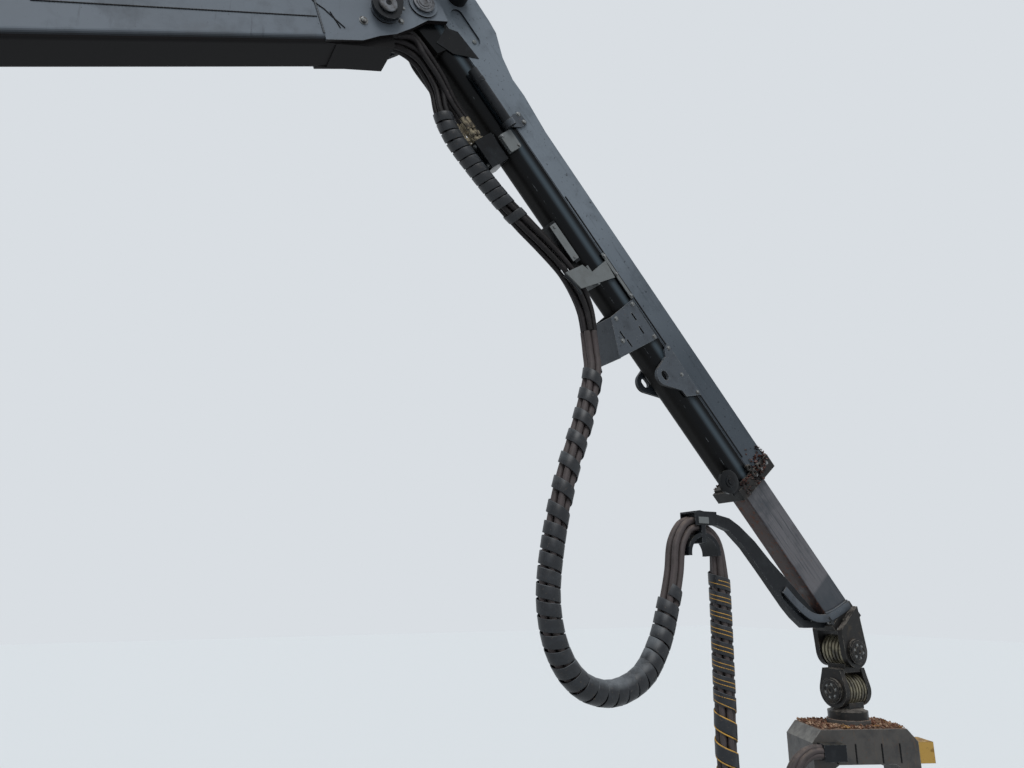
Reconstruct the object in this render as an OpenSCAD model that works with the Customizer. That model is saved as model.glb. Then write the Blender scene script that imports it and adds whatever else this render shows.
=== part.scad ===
// Crane of a forestry harvester: slewing base, main boom, folding jib with a
// telescoping beam, braked double link, rotator and the top of the head's hanger.
// All sizes in millimetres. X runs forward along the crane, Y to its left, Z up.
// The origin is the centre of the base flange's underside.

/* [Base and slewing] */
// Outer diameter of the base flange
flange_d = 640; // [560:10:760]
// Thickness of the base flange
flange_t = 40; // [25:1:60]
// Bolt circle of the base flange
bolt_pcd = 560; // [500:10:700]
// Number of base bolts
bolt_count = 20; // [12:2:32]
// Diameter of a base bolt hole
bolt_hole_d = 26; // [18:1:34]
// Outer diameter of the slewing housing
housing_d = 430; // [360:10:480]
// Height of the slewing housing above the flange
housing_h = 320; // [260:10:420]
// Diameter of a rack cylinder of the slewing drive
rack_d = 150; // [110:5:180]
// Length of a rack cylinder from cap to cap
rack_len = 900; // [700:10:1100]
// Distance of the rack cylinders from the crane's plane
rack_off = 185; // [150:5:220]

/* [Pillar] */
// Height of the boom's foot pin above the base
foot_z = 1804; // [1500:10:2100]
// Width of the pillar across its cheeks
pillar_w = 290; // [260:5:340]
// Depth of the pillar fore and aft
pillar_depth = 340; // [260:10:420]
// Thickness of a cheek
cheek_t = 35; // [20:1:45]
// Foot pin of the lift cylinder, forward of the slewing axis
lift_foot_x = 340; // [300:5:420]
// Foot pin of the lift cylinder, above the base
lift_foot_z = 560; // [480:10:700]

/* [Main boom] */
// Length from the foot pin to the jib pin
boom_len = 4200; // [3600:50:5000]
// Elevation of the boom at rest, degrees
boom_deg = 19.7; // [0:0.1:60]
// Width of the boom's box
boom_w = 260; // [220:5:320]
// Radius of the box's long edges
boom_edge_r = 38; // [10:1:60]
// Thickness of a nose plate
nose_t = 32; // [20:1:40]
// Lift lug, along the boom from the foot pin
lift_lug_x = 1050; // [800:10:1300]
// Lift lug, below the line of the pins
lift_lug_drop = 385; // [340:5:450]
// Tail lug of the jib cylinder, behind the jib pin
tail_lug_back = 1700; // [1500:10:1900]
// Tail lug of the jib cylinder, above the line of the pins
tail_lug_rise = 380; // [340:5:450]

/* [Jib] */
// Slope of the jib below level at rest, degrees
jib_deg = 49.4; // [10:0.1:85]
// Length of the jib's box from the jib pin
jib_len = 3280; // [2800:20:3800]
// Width of the jib's upper side plates
jib_w = 180; // [150:5:220]
// Height of the box's top above the jib pin's line
jib_top = 262; // [230:2:300]
// Depth of the rounded keel below that line
jib_keel = 50; // [30:2:70]
// Height at which the upper side plates overlap the keel
lap_b = 97; // [60:1:130]

/* [Telescope] */
// Width of the inner beam
beam_w = 130; // [100:5:140]
// Top of the inner beam, above the jib pin's line
beam_top = 182; // [150:2:200]
// Bottom of the inner beam, below that line
beam_drop = 20; // [0:1:24]
// Length of the inner beam
beam_len = 2600; // [2300:20:2900]
// Beam end beyond the jib's box at rest
beam_out = 1075; // [400:5:1900]

/* [Cylinders] */
// Tube diameter of the lift cylinder
lift_tube_d = 150; // [130:5:160]
// Rod diameter of the lift cylinder
lift_rod_d = 80; // [60:5:95]
// Tube diameter of the jib cylinder
jib_tube_d = 135; // [110:5:150]
// Rod diameter of the jib cylinder
jib_rod_d = 75; // [50:5:85]
// Length of the lift cylinder's tube from its foot pin
lift_tube_len = 1080; // [980:10:1090]
// Length of the jib cylinder's tube from its tail pin
jib_tube_len = 1330; // [1200:10:1380]
// Length of the lift cylinder's rod from its piston to its eye
lift_rod_len = 1098; // [1050:2:1150]
// Length of the jib cylinder's rod from its piston to its eye
jib_rod_len = 700; // [640:10:760]

/* [Pins and clearances] */
// Diameter of the large boom pins
pin_d = 90; // [70:5:100]
// Diameter of the cylinder and rocker pins
pin_small_d = 70; // [50:5:80]
// Running clearance of a pin, a rod or a shaft, on the radius
run_gap = 0.05; // [0.02:0.01:0.1]
// Side clearance between pieces that turn past each other
side_gap = 6; // [5:1:8]
// Seat left between a bought-in piece and its carrier
seat = 0.3; // [0.1:0.1:0.5]

/* [Link, rotator and hanger] */
// Diameter of a brake disc pack
pack_d = 188; // [150:2:210]
// Length of a brake disc pack
pack_len = 150; // [110:2:180]
// Number of discs that show in a pack
pack_discs = 6; // [4:1:9]
// Thickness of the ears that hold a pack
ear_t = 34; // [24:1:45]
// Diameter of the rotator
rotator_d = 232; // [200:2:260]
// Hanger's length
hanger_len = 640; // [600:10:900]
// Hanger's width
hanger_w = 360; // [320:10:560]
// Hanger's depth at its middle
hanger_h = 190; // [150:5:240]
// Drop of the head's pivot below the hanger's middle
hanger_leg = 270; // [220:10:320]
// Turn of the hanger at rest, degrees
hanger_deg = 24; // [0:1:90]
// Pivot bore of the head in the hanger
hanger_bore_d = 60; // [40:2:80]

/* [Hidden] */
$fn = 48;
eps = 0.01;
jib_x = boom_len * cos(boom_deg);
jib_z = foot_z + boom_len * sin(boom_deg);
bore_big = pin_d / 2 + run_gap;
bore_small = pin_small_d / 2 + run_gap;
nose_out = boom_w / 2;
nose_in = nose_out - nose_t;
foot_half = pillar_w / 2 - cheek_t - side_gap;
lug_in = lift_tube_d / 2 + side_gap;
lug_out = lug_in + 32;
tail_in = jib_tube_d / 2 + side_gap;
tail_out = tail_in + 28;
// Rocker on the hollow shaft behind the jib pin, in the boom's own directions
rocker_back = 243;
rocker_drop = 48;
rocker_len = 360;
rocker_deg = 66;
rocker_in = nose_out + 28;
rocker_out = rocker_in + 24;
link_in = rocker_out + side_gap;
link_out = link_in + 22;
shaft_d = 104;
shaft_bore_d = 62;
// The link's far pin on the jib's hump, in the boom's own directions
hump_r = 275;
hump_deg = 17.6;
knee = [-rocker_back + rocker_len * cos(rocker_deg), -rocker_drop + rocker_len * sin(rocker_deg)];
hump = [hump_r * cos(hump_deg), hump_r * sin(hump_deg)];
hump_turn = boom_deg + jib_deg + hump_deg;
hump_a = hump_r * cos(hump_turn);
hump_b = hump_r * sin(hump_turn);
// Cylinder lines at rest
lift_lug = [
    lift_lug_x * cos(boom_deg) + lift_lug_drop * sin(boom_deg),
    foot_z + lift_lug_x * sin(boom_deg) - lift_lug_drop * cos(boom_deg)
];
lift_run = [lift_lug[0] - lift_foot_x, lift_lug[1] - lift_foot_z];
lift_len = norm(lift_run);
lift_deg = atan2(lift_run[1], lift_run[0]);
tail = [-tail_lug_back, tail_lug_rise];
jib_cyl_len = norm(knee - tail);
jib_cyl_deg = atan2(knee[1] - tail[1], knee[0] - tail[0]);
// Telescope
beam_end = jib_len + beam_out;
tip_a = beam_end + 205;
tip_b = -28;
cave_half = beam_w / 2 + side_gap;
cave_low = -beam_drop - side_gap;
cave_top = jib_top - 26;
collar_len = 92;
// Link and rotator, in the part's own frame
tip_x = jib_x + tip_a * cos(jib_deg) + tip_b * sin(jib_deg);
tip_z = jib_z - tip_a * sin(jib_deg) + tip_b * cos(jib_deg);
roll_z = tip_z - 230;
rotator_top = roll_z - pack_d / 2 - 6;
flange_z = rotator_top - 62;
hanger_top = flange_z - 34;
hanger_pivot_z = hanger_top - hanger_h - hanger_leg;

// Frames of the boom and the jib
module on_boom() translate([0, 0, foot_z]) rotate([0, -boom_deg, 0]) children();
module at_nose() on_boom() translate([boom_len, 0, 0]) children();
module on_jib() translate([jib_x, 0, jib_z]) rotate([0, jib_deg, 0]) children();
module both() {
    children();
    mirror([0, 1, 0]) children();
}

// A round bar across the crane, from y0 to y1
module across(x, z, d, y0, y1)
    translate([x, y0, z]) rotate([-90, 0, 0]) cylinder(d = d, h = y1 - y0);

// A plate in the crane's plane with the outline given, from y0 to y1
module plate(outline, y0, y1)
    translate([0, y1, 0]) rotate([90, 0, 0]) linear_extrude(y1 - y0) polygon(outline);

// A lug: a round end joined to a foot line, from y0 to y1
module lug(x, z, r, foot, y0, y1)
    translate([0, y1, 0]) rotate([90, 0, 0]) linear_extrude(y1 - y0) hull() {
        translate([x, z]) circle(r);
        polygon(foot);
    }

// A thin rounded slice of a box, at x, from z0 to z1
module slice(x, z0, z1, w, r)
    translate([x, 0, (z0 + z1) / 2]) rotate([90, 0, 90])
        linear_extrude(1, center = true) offset(r)
            square([w - 2 * r, z1 - z0 - 2 * r], center = true);

module block(lo, hi) translate(lo) cube(hi - lo);

module base_flange() color([0.13, 0.14, 0.15]) difference() {
    union() {
        cylinder(d = flange_d, h = flange_t, $fn = 96);
        cylinder(d = housing_d + 40, h = flange_t + 22, $fn = 96);
    }
    for (i = [0 : bolt_count - 1])
        rotate(i * 360 / bolt_count) translate([bolt_pcd / 2, 0, -1])
            cylinder(d = bolt_hole_d, h = flange_t + 2, $fn = 24);
    translate([0, 0, -1]) cylinder(d = 180, h = flange_t + 24);
}

module slew_housing() color([0.13, 0.14, 0.15]) {
    z0 = flange_t + 22;
    difference() {
        union() {
            translate([0, 0, z0]) cylinder(d = housing_d, h = housing_h - 22, $fn = 96);
            both() translate([-rack_len / 2 + 70, -rack_off, z0 + rack_d / 2 + 8])
                rotate([0, 90, 0]) cylinder(d = rack_d, h = rack_len - 140);
        }
        translate([0, 0, z0 - 1]) cylinder(d = 180, h = housing_h);
    }
}

module slew_cylinders() color([0.2, 0.21, 0.22])
    both() for (s = [-1, 1])
        translate([s * (rack_len / 2 - 70), -rack_off, flange_t + 30 + rack_d / 2])
            rotate([0, s * 90, 0]) {
                cylinder(d = rack_d + 26, h = 24);
                cylinder(d = rack_d - 8, h = 70);
            }

module pillar() color([0.13, 0.14, 0.15]) {
    z0 = flange_t + housing_h + seat;
    half = pillar_w / 2;
    difference() {
        union() {
            translate([0, 0, z0]) cylinder(d = housing_d - 20, h = 60, $fn = 96);
            hull() {
                translate([0, 0, z0 + 55]) cylinder(d = 380, h = 10);
                translate([-pillar_depth / 2, -half, z0 + 330]) cube([pillar_depth, pillar_w, 10]);
            }
            block([-pillar_depth / 2, -half, z0 + 330], [pillar_depth / 2, half, foot_z - 330]);
            both() lug(0, foot_z, 135, [[-pillar_depth / 2, foot_z - 430],
                [pillar_depth / 2, foot_z - 430], [pillar_depth / 2, foot_z - 330],
                [-pillar_depth / 2, foot_z - 330]], half - cheek_t, half);
            both() lug(lift_foot_x, lift_foot_z, 78, [[0, lift_foot_z - 100],
                [120, lift_foot_z - 100], [120, lift_foot_z + 330], [0, lift_foot_z + 330]],
                lug_in, lug_out);
        }
        across(0, foot_z, 2 * bore_big, -half - 1, half + 1);
        across(lift_foot_x, lift_foot_z, 2 * bore_small, -lug_out - 1, lug_out + 1);
    }
}

module pillar_pins() color([0.5, 0.5, 0.5]) {
    half = pillar_w / 2;
    across(0, foot_z, pin_d, -half - 4, half + 4);
    both() across(0, foot_z, pin_d + 46, half + seat, half + 16);
    across(lift_foot_x, lift_foot_z, pin_small_d, -lug_out - 4, lug_out + 4);
    both() across(lift_foot_x, lift_foot_z, pin_small_d + 34, lug_out + seat, lug_out + 14);
}

// Outline of a nose plate around the jib pin, in the boom's own directions
nose_line = [
    [-620, 100], [-620, -225], [-420, -226], [-317, -199], [-216, -185], [-106, -146],
    [2, -97], [127, -100], [118, -30], [106, 32], [60, 100], [-30, 116], [-120, 118]
];
// Thin web inside a nose plate, down to the belly plate under the hoses
belly_web = [[-620, -150], [-620, -226], [-560, -234], [-245, -256], [-236, -244], [-216, -150]];
belly_floor = [[-560, -222], [-560, -234], [-245, -256], [-236, -244]];

module nose_plates() {
    both() plate(nose_line, nose_in, nose_out);
    both() plate(belly_web, nose_in, nose_in + 8);
    plate(belly_floor, -nose_in - 1, nose_in + 1);
}

module main_boom() color([0.13, 0.15, 0.17]) {
    lug_z = -lift_lug_drop;
    difference() {
        union() {
            on_boom() {
                hull() {
                    slice(300, -150, 105, boom_w, boom_edge_r, $fn = 32);
                    slice(800, -228, 140, boom_w, boom_edge_r, $fn = 32);
                    slice(1700, -232, 152, boom_w, boom_edge_r, $fn = 32);
                    slice(2900, -230, 142, boom_w, boom_edge_r, $fn = 32);
                    slice(boom_len - 560, -228, 118, boom_w, boom_edge_r, $fn = 32);
                }
                lug(0, 0, 118, [[300, -140], [330, -140], [330, 95], [300, 95]],
                    -foot_half, foot_half);
                both() lug(lift_lug_x, lug_z, 82, [[lift_lug_x - 330, -200],
                    [lift_lug_x + 300, -200], [lift_lug_x + 300, -230],
                    [lift_lug_x - 330, -215]], lug_in, lug_out);
                translate([boom_len, 0, 0]) {
                    both() lug(-tail_lug_back, tail_lug_rise, 72,
                        [[-tail_lug_back - 190, 100], [-tail_lug_back + 150, 100],
                        [-tail_lug_back + 150, 130], [-tail_lug_back - 190, 130]],
                        tail_in, tail_out);
                    nose_plates();
                    both() across(0, 0, pin_d + 78, nose_out - 1, nose_out + 10);
                    both() across(-rocker_back, -rocker_drop, shaft_d + 56, nose_out - 1, nose_out + 8);
                }
            }
        }
        on_boom() {
            across(0, 0, 2 * bore_big, -boom_w, boom_w);
            across(lift_lug_x, lug_z, 2 * bore_small, -boom_w, boom_w);
            translate([boom_len, 0, 0]) {
                across(0, 0, 2 * bore_big, -boom_w, boom_w);
                across(-rocker_back, -rocker_drop, shaft_d + 2 * run_gap, -boom_w, boom_w);
                across(-tail_lug_back, tail_lug_rise, 2 * bore_small, -boom_w, boom_w);
                block([-1000, -nose_in + 4, -214], [-540, nose_in - 4, 70]);
            }
        }
    }
}

// The lift cylinder's and the link's far pivots are open, so their pins are cut at the eyes
module boom_pins() color([0.5, 0.5, 0.5]) on_boom() {
    both() across(lift_lug_x, -lift_lug_drop, pin_small_d, lug_in, lug_out + 4);
    both() across(lift_lug_x, -lift_lug_drop, pin_small_d + 34, lug_out + seat, lug_out + 14);
    translate([boom_len, 0, 0]) {
        difference() {
            union() {
                across(0, 0, pin_d, -nose_out - 14, nose_out + 14);
                both() across(0, 0, pin_d + 30, nose_out + 10 + seat, nose_out + 24);
            }
            both() across(0, 0, 34, nose_out - 30, nose_out + 30);
        }
        across(-tail_lug_back, tail_lug_rise, pin_small_d, -tail_out - 4, tail_out + 4);
        both() across(-tail_lug_back, tail_lug_rise, pin_small_d + 30, tail_out + seat, tail_out + 12);
    }
}

// A cylinder's tube along X from its eye at the origin
module cyl_tube(len, d, rod, eye_d, half) difference() {
    union() {
        across(0, 0, eye_d, -half, half);
        rotate([0, 90, 0]) cylinder(d = d, h = len - 70);
        translate([len - 76, 0, 0]) rotate([0, 90, 0]) cylinder(d = d + 16, h = 76);
        translate([60, 0, 0]) rotate([0, 90, 0]) cylinder(d = d + 10, h = 40);
        translate([90, 0, d / 2 - 6]) cylinder(d = 44, h = 26);
        translate([len - 120, 0, d / 2 - 6]) cylinder(d = 44, h = 26);
        translate([90, 0, d / 2 + 9]) rotate([0, 90, 0]) cylinder(d = 20, h = len - 210);
    }
    across(0, 0, 2 * bore_small, -half - 1, half + 1);
    translate([120, 0, 0]) rotate([0, 90, 0]) cylinder(d = d - 22, h = len - 196);
    translate([120, 0, 0]) rotate([0, 90, 0]) cylinder(d = rod + 2 * run_gap, h = len);
}

// A cylinder's rod, from its piston to its eye at x = len; the pin's middle goes with the eye
module cyl_rod(len, from, d, bore, eye_d, half) {
    translate([from, 0, 0]) rotate([0, 90, 0]) cylinder(d = d, h = len - from);
    translate([from, 0, 0]) rotate([0, 90, 0]) cylinder(d = bore - 2 * run_gap, h = 45);
    across(len, 0, eye_d, -half, half);
    across(len, 0, pin_small_d, -half - 2, half + 2);
}

module lift_frame() translate([lift_foot_x, 0, lift_foot_z]) rotate([0, -lift_deg, 0]) children();
module jib_cyl_frame() at_nose() translate([tail[0], 0, tail[1]]) rotate([0, -jib_cyl_deg, 0]) children();

module lift_cylinder_tube() color([0.1, 0.11, 0.12]) lift_frame()
    cyl_tube(lift_tube_len, lift_tube_d, lift_rod_d, 140, lift_tube_d / 2);
module lift_cylinder_rod() color([0.75, 0.76, 0.78]) lift_frame()
    cyl_rod(lift_len, lift_len - lift_rod_len, lift_rod_d, lift_tube_d - 22, 128, lug_in - 8);
module jib_cylinder_tube() color([0.1, 0.11, 0.12]) jib_cyl_frame()
    cyl_tube(jib_tube_len, jib_tube_d, jib_rod_d, 128, jib_tube_d / 2);
module jib_cylinder_rod() color([0.75, 0.76, 0.78]) jib_cyl_frame()
    cyl_rod(jib_cyl_len, jib_cyl_len - jib_rod_len, jib_rod_d, jib_tube_d - 22, 124, 60);

module rocker() color([0.12, 0.13, 0.14]) at_nose() {
    difference() {
        union() {
            across(-rocker_back, -rocker_drop, shaft_d, -rocker_out - 8, rocker_out + 8);
            both() lug(knee[0], knee[1], 66, [for (t = [0 : 20 : 340])
                [-rocker_back + 84 * cos(t), -rocker_drop + 84 * sin(t)]], rocker_in, rocker_out);
            both() across(knee[0], knee[1], pin_small_d, 64, link_out + 10);
            both() across(knee[0], knee[1], pin_small_d + 34, 64, rocker_in);
            both() across(knee[0], knee[1], pin_small_d + 26, link_out + seat, link_out + 12);
        }
        across(-rocker_back, -rocker_drop, shaft_bore_d, -200, 200);
    }
}

module rocker_link() color([0.12, 0.13, 0.14]) at_nose() both() {
    difference() {
        translate([0, link_out, 0]) rotate([90, 0, 0]) linear_extrude(link_out - link_in) hull() {
            translate(knee) circle(62);
            translate(hump) circle(62);
        }
        across(knee[0], knee[1], 2 * bore_small, link_in - 1, link_out + 1);
    }
    across(hump[0], hump[1], pin_small_d + 30, link_out - 1, link_out + 12);
}

// Side outline of the jib, in a (along it) and b (square to it)
jib_line = [
    [-60, 200], [10, 330], [68, 387], [213, 384], [288, 376], [434, 310], [571, 280],
    [684, 284], [928, 263], [jib_len, jib_top], [jib_len, -jib_keel], [470, -jib_keel],
    [300, -70], [150, -88], [0, -98], [-80, -70], [-100, 0]
];
keel_r = 62;

// The jib's section, y across and b up: side plates lapped over a rounded keel
module jib_section() {
    translate([-jib_w / 2, lap_b]) square([jib_w, 400]);
    keel_half = jib_w / 2 - 6;
    hull() {
        for (s = [-1, 1])
            translate([s * (keel_half - keel_r), -jib_keel + keel_r]) circle(keel_r);
        translate([-keel_half, lap_b]) square([2 * keel_half, 10]);
    }
}

module jib_box() color([0.14, 0.16, 0.18]) on_jib() difference() {
    union() {
        intersection() {
            plate(jib_line, -jib_w / 2, jib_w / 2);
            union() {
                translate([260, 0, 0]) rotate([90, 0, 90]) linear_extrude(jib_len - 260) jib_section();
                block([-200, -jib_w / 2, -200], [261, jib_w / 2, 500]);
            }
        }
        across(hump_a, hump_b, pin_small_d + 50, -link_in + 4, link_in - 4);
    }
    across(0, 0, 2 * bore_big, -jib_w, jib_w);
    block([520, -cave_half, cave_low], [jib_len + 1, cave_half, cave_top]);
    // Long recess beside the link's boss
    for (s = [-1, 1]) hull() for (a = [112, 275])
        across(a, 200, 84, s * jib_w / 2 - 12, s * jib_w / 2 + 12);
}

module root_guards() color([0.12, 0.13, 0.14]) on_jib() both()
    plate([[150, 80], [197, 133], [383, 152], [299, 15], [206, -40]], jib_w / 2 + seat, nose_in - 5);

keel_side = jib_w / 2 - 6;
tube_y = -(jib_w / 2 + 26);
tube_b = 43;
tube_d = 56;
tube_a = [430, 800];
module feed_tube() color([0.09, 0.1, 0.11]) on_jib() {
    translate([tube_a[0], tube_y, tube_b]) rotate([0, 90, 0])
        cylinder(d = tube_d, h = tube_a[1] - tube_a[0]);
    translate([tube_a[0] + 60, tube_y, tube_b]) rotate([0, 90, 0]) cylinder(d = tube_d + 6, h = 24);
    across(tube_a[0] + tube_d / 2, tube_b, tube_d, tube_y, -keel_side - seat);
}

module tube_clamp() color([0.12, 0.13, 0.14]) on_jib() difference() {
    union() {
        translate([tube_a[1] - 28, tube_y, tube_b]) rotate([0, 90, 0]) cylinder(d = tube_d + 18, h = 36);
        block([tube_a[1] - 28, tube_y, tube_b - 22], [tube_a[1] + 8, -keel_side - seat, tube_b + 36]);
        plate([[tube_a[1] - 52, 122], [tube_a[1] - 46, 172], [tube_a[1] + 28, 176], [tube_a[1] + 35, 122],
            [tube_a[1] + 8, 62], [tube_a[1] - 28, 62]], -jib_w / 2 - 10, -jib_w / 2 - seat);
    }
    translate([tube_a[1] - 30, tube_y, tube_b]) rotate([0, 90, 0])
        cylinder(d = tube_d + 2 * run_gap, h = 30 + seat);
    block([tube_a[1] - 60, -keel_side - seat, tube_b - 60], [tube_a[1] + 20, 0, tube_b + 46]);
}

module cover_plate() color([0.42, 0.46, 0.42]) on_jib()
    plate([[822, -52], [926, -52], [932, -44], [932, 28], [926, 36], [822, 36], [816, 28], [816, -44]],
        -keel_side - 24, -keel_side - seat);

module valve_block() color([0.09, 0.09, 0.1]) on_jib() {
    block([786, -62, -jib_keel - 26], [940, 62, -jib_keel - seat]);
    block([776, -84, -206], [950, 70, -jib_keel - 26]);
}

fit_y = [-62, -22, 18, 50];
module valve_fittings() color([0.66, 0.56, 0.32]) on_jib()
    for (i = [0 : 3]) translate([776 - seat, fit_y[i], i % 2 == 0 ? -170 : -112]) rotate([0, -90, 0]) {
        cylinder(d = 38, h = 16, $fn = 6);
        cylinder(d = 22, h = 81, $fn = 24);
        translate([0, 0, 34]) cylinder(d = 38, h = 22, $fn = 6);
        translate([0, 0, 80]) cylinder(d = 33, h = 70, $fn = 24);
    }

module cover_box() color([0.1, 0.11, 0.12]) on_jib()
    difference() {
        block([1376, -74, -jib_keel - 54], [1648, 74, -jib_keel - seat]);
        block([1370, -80, -jib_keel - 60], [1392, 80, -jib_keel - 40]);
        block([1632, -80, -jib_keel - 60], [1654, 80, -jib_keel - 40]);
    }

module hose_saddle_plate() color([0.45, 0.47, 0.46]) on_jib() {
    block([1696, -99, -jib_keel - 14], [1826, keel_side - 4, -jib_keel - seat]);
    plate([[1656, -213], [1676, -82], [1742, -56], [1736, 80], [1848, 68], [1782, -184]], -100, -92);
    block([1760, -93, 0], [1800, -keel_side - seat, 18]);
}

bracket_line = [[2286, 78], [2012, 82], [2014, -125], [2229, -241]];
bracket_half = jib_w / 2 + 8;
bracket_slots = [[2098, 20], [2186, 10], [2136, -130], [2200, -120]];
module slotted_bracket() color([0.13, 0.14, 0.15]) on_jib() difference() {
    union() {
        both() plate(bracket_line, keel_side + seat, bracket_half);
        plate([bracket_line[2], bracket_line[3], bracket_line[3] + [4, 8], bracket_line[2] + [0, 9]],
            -bracket_half, bracket_half);
    }
    for (s = [-1, 1], c = bracket_slots)
        block([c[0] - 26, s * bracket_half - 24, c[1] - 5], [c[0] + 26, s * bracket_half + 24, c[1] + 5]);
}

eye_ring = [2480, -39];
module lifting_eyes() color([0.12, 0.13, 0.14]) on_jib() both() difference() {
    union() {
        plate([[2344, 112], [2370, 62], [2410, 36], [2560, -6], [2663, 4], [2717, 104]],
            jib_w / 2 + seat, jib_w / 2 + 16);
        lug(eye_ring[0], eye_ring[1], 62, [[2400, 70], [2640, 70], [2640, 20], [2400, 40]],
            keel_side + seat, jib_w / 2 + 16);
    }
    hull() for (a = [-11, 11])
        across(eye_ring[0] + a, eye_ring[1] - 4, 40, jib_w / 2 - 40, jib_w / 2 + 40);
}

module end_collar() color([0.1, 0.1, 0.11]) on_jib() difference() {
    union() {
        block([jib_len + seat, -jib_w / 2 - 14, -jib_keel - 12],
            [jib_len + collar_len, jib_w / 2 + 14, jib_top + 12]);
        both() across(jib_len + collar_len / 2, 30, collar_len - 12, jib_w / 2, jib_w / 2 + 24);
        block([jib_len + 16, -jib_w / 2 - 24, -jib_keel - 30],
            [jib_len + collar_len - 8, jib_w / 2 + 24, -jib_keel + 34]);
    }
    block([jib_len - 1, -cave_half, cave_low], [jib_len + collar_len + 1, cave_half, cave_top]);
}

module slide_pads() color([0.75, 0.73, 0.66]) on_jib() {
    block([jib_len - 120, -cave_half + 12, beam_top + 0.2],
        [jib_len + collar_len - 6, cave_half - 12, cave_top - seat]);
    block([jib_len - 120, -cave_half + 12, cave_low + seat],
        [jib_len + collar_len - 6, cave_half - 12, -beam_drop - 0.2]);
}

module inner_beam() color([0.42, 0.43, 0.44]) on_jib() difference() {
    rotate([90, 0, 90]) translate([0, 0, beam_end - beam_len]) linear_extrude(beam_len)
        offset(9, $fn = 24) translate([-beam_w / 2 + 9, -beam_drop + 9])
            square([beam_w - 18, beam_top + beam_drop - 18]);
    block([beam_end - beam_len - 1, -beam_w / 2 + 14, -beam_drop + 14],
        [beam_end - 160, beam_w / 2 - 14, beam_top - 14]);
}

module beam_shoe() color([0.75, 0.73, 0.66]) on_jib()
    block([beam_end - beam_len + 20, -cave_half + 12, beam_top + seat],
        [beam_end - beam_len + 220, cave_half - 12, cave_top - 1]);

module tip_fork() color([0.11, 0.11, 0.12]) on_jib() difference() {
    union() {
        block([beam_end + seat, -beam_w / 2 - 8, -beam_drop - 20],
            [beam_end + 40, beam_w / 2 + 8, beam_top + 8]);
        both() lug(tip_a, tip_b, pack_d / 2 + 4, [[beam_end + 38, -beam_drop - 10],
            [beam_end + 42, -beam_drop - 10], [beam_end + 42, beam_top], [beam_end + 38, beam_top]],
            pack_len / 2 + 2, pack_len / 2 + 2 + ear_t);
        block([beam_end + 36, -pack_len / 2 - 20, 60], [beam_end + 110, pack_len / 2 + 20, beam_top]);
    }
    across(tip_a, tip_b, 2 * bore_small, -200, 200);
}

// The hose arm's side outline and the gap under its strap, from the beam's end, in a and b
arm_outer = [
    [-1122, -330], [-1044, -262], [-947, -184], [-863, -153], [-727, -124], [-565, -110], [-415, -86],
    [-259, -66], [-109, -46], [-62, -beam_drop - seat], [-2, -beam_drop - seat], [-2, -58], [-112, -184],
    [-210, -206], [-298, -213], [-585, -213], [-750, -216], [-897, -238], [-976, -286], [-1086, -364]
];
arm_gap = [[-398, -178], [-259, -106], [-109, -82], [-60, -70], [-136, -148], [-232, -178], [-345, -194]];
arm_half = 22;

// Half-round arch that carries the hoses over: its centre from the beam's end, and in the part's own frame
arch_a = beam_end - 943.4;
arch_b = -506.3;
arch_x = jib_x + arch_a * cos(jib_deg) + arch_b * sin(jib_deg);
arch_z = jib_z - arch_a * sin(jib_deg) + arch_b * cos(jib_deg);
arch_r = 107;
clamp_half = 15;
module arch_clamp(grow) block([arch_x - clamp_half - grow, -66 - grow, arch_z + 60 - grow],
    [arch_x + clamp_half + grow, 66 + grow, arch_z + 236 + grow]);

module hose_arm() color([0.05, 0.05, 0.05]) {
    on_jib() translate([beam_end, arm_half, 0]) rotate([90, 0, 0]) linear_extrude(2 * arm_half)
        difference() {
            polygon(arm_outer);
            polygon(arm_gap);
        }
    on_jib() block([beam_end - 60, -beam_w / 2 - 14, -beam_drop - 14],
        [beam_end - 2, beam_w / 2 + 14, -beam_drop - seat]);
    arch_clamp(0);
    translate([arch_x, 0, arch_z]) {
        both() block([-56, 60, 160], [104, 66, 240]);
        block([-56, -66, 230], [104, 66, 240]);
    }
}

module hose_arch() color([0.05, 0.05, 0.05]) difference() {
    translate([arch_x, 0, arch_z]) difference() {
        union() {
            across(0, 0, 2 * arch_r, -60, 60);
            both() across(0, 0, 2 * arch_r + 24, 60, 66);
        }
        across(0, 0, 2 * arch_r - 24, -100, 100);
        block([-160, -100, -160], [160, 100, -10]);
    }
    arch_clamp(seat);
}

module pitch_pin() color([0.5, 0.5, 0.5]) translate([tip_x, 0, tip_z]) {
    half = pack_len / 2 + 2 + ear_t;
    across(0, 0, pin_small_d, -half, half);
    both() across(0, 0, pack_d - 40, half + seat, half + 14);
}

// Brake discs: a hub with raised discs, about Z
module disc_pack(bore) difference() {
    rotate_extrude() polygon(concat([[0, -pack_len / 2], [0, pack_len / 2]],
        [for (i = [pack_discs - 1 : -1 : 0]) let (p = pack_len / pack_discs, z = -pack_len / 2 + i * p)
            each [[pack_d / 2, z + p - 1], [pack_d / 2, z + p * 0.42],
                [pack_d / 2 - 12, z + p * 0.42], [pack_d / 2 - 12, z + 1]]]));
    translate([0, 0, -pack_len]) cylinder(d = bore, h = 2 * pack_len);
}

module pitch_discs() color([0.2, 0.2, 0.2]) translate([tip_x, 0, tip_z])
    rotate([90, 0, 0]) disc_pack(2 * bore_small);

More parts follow.
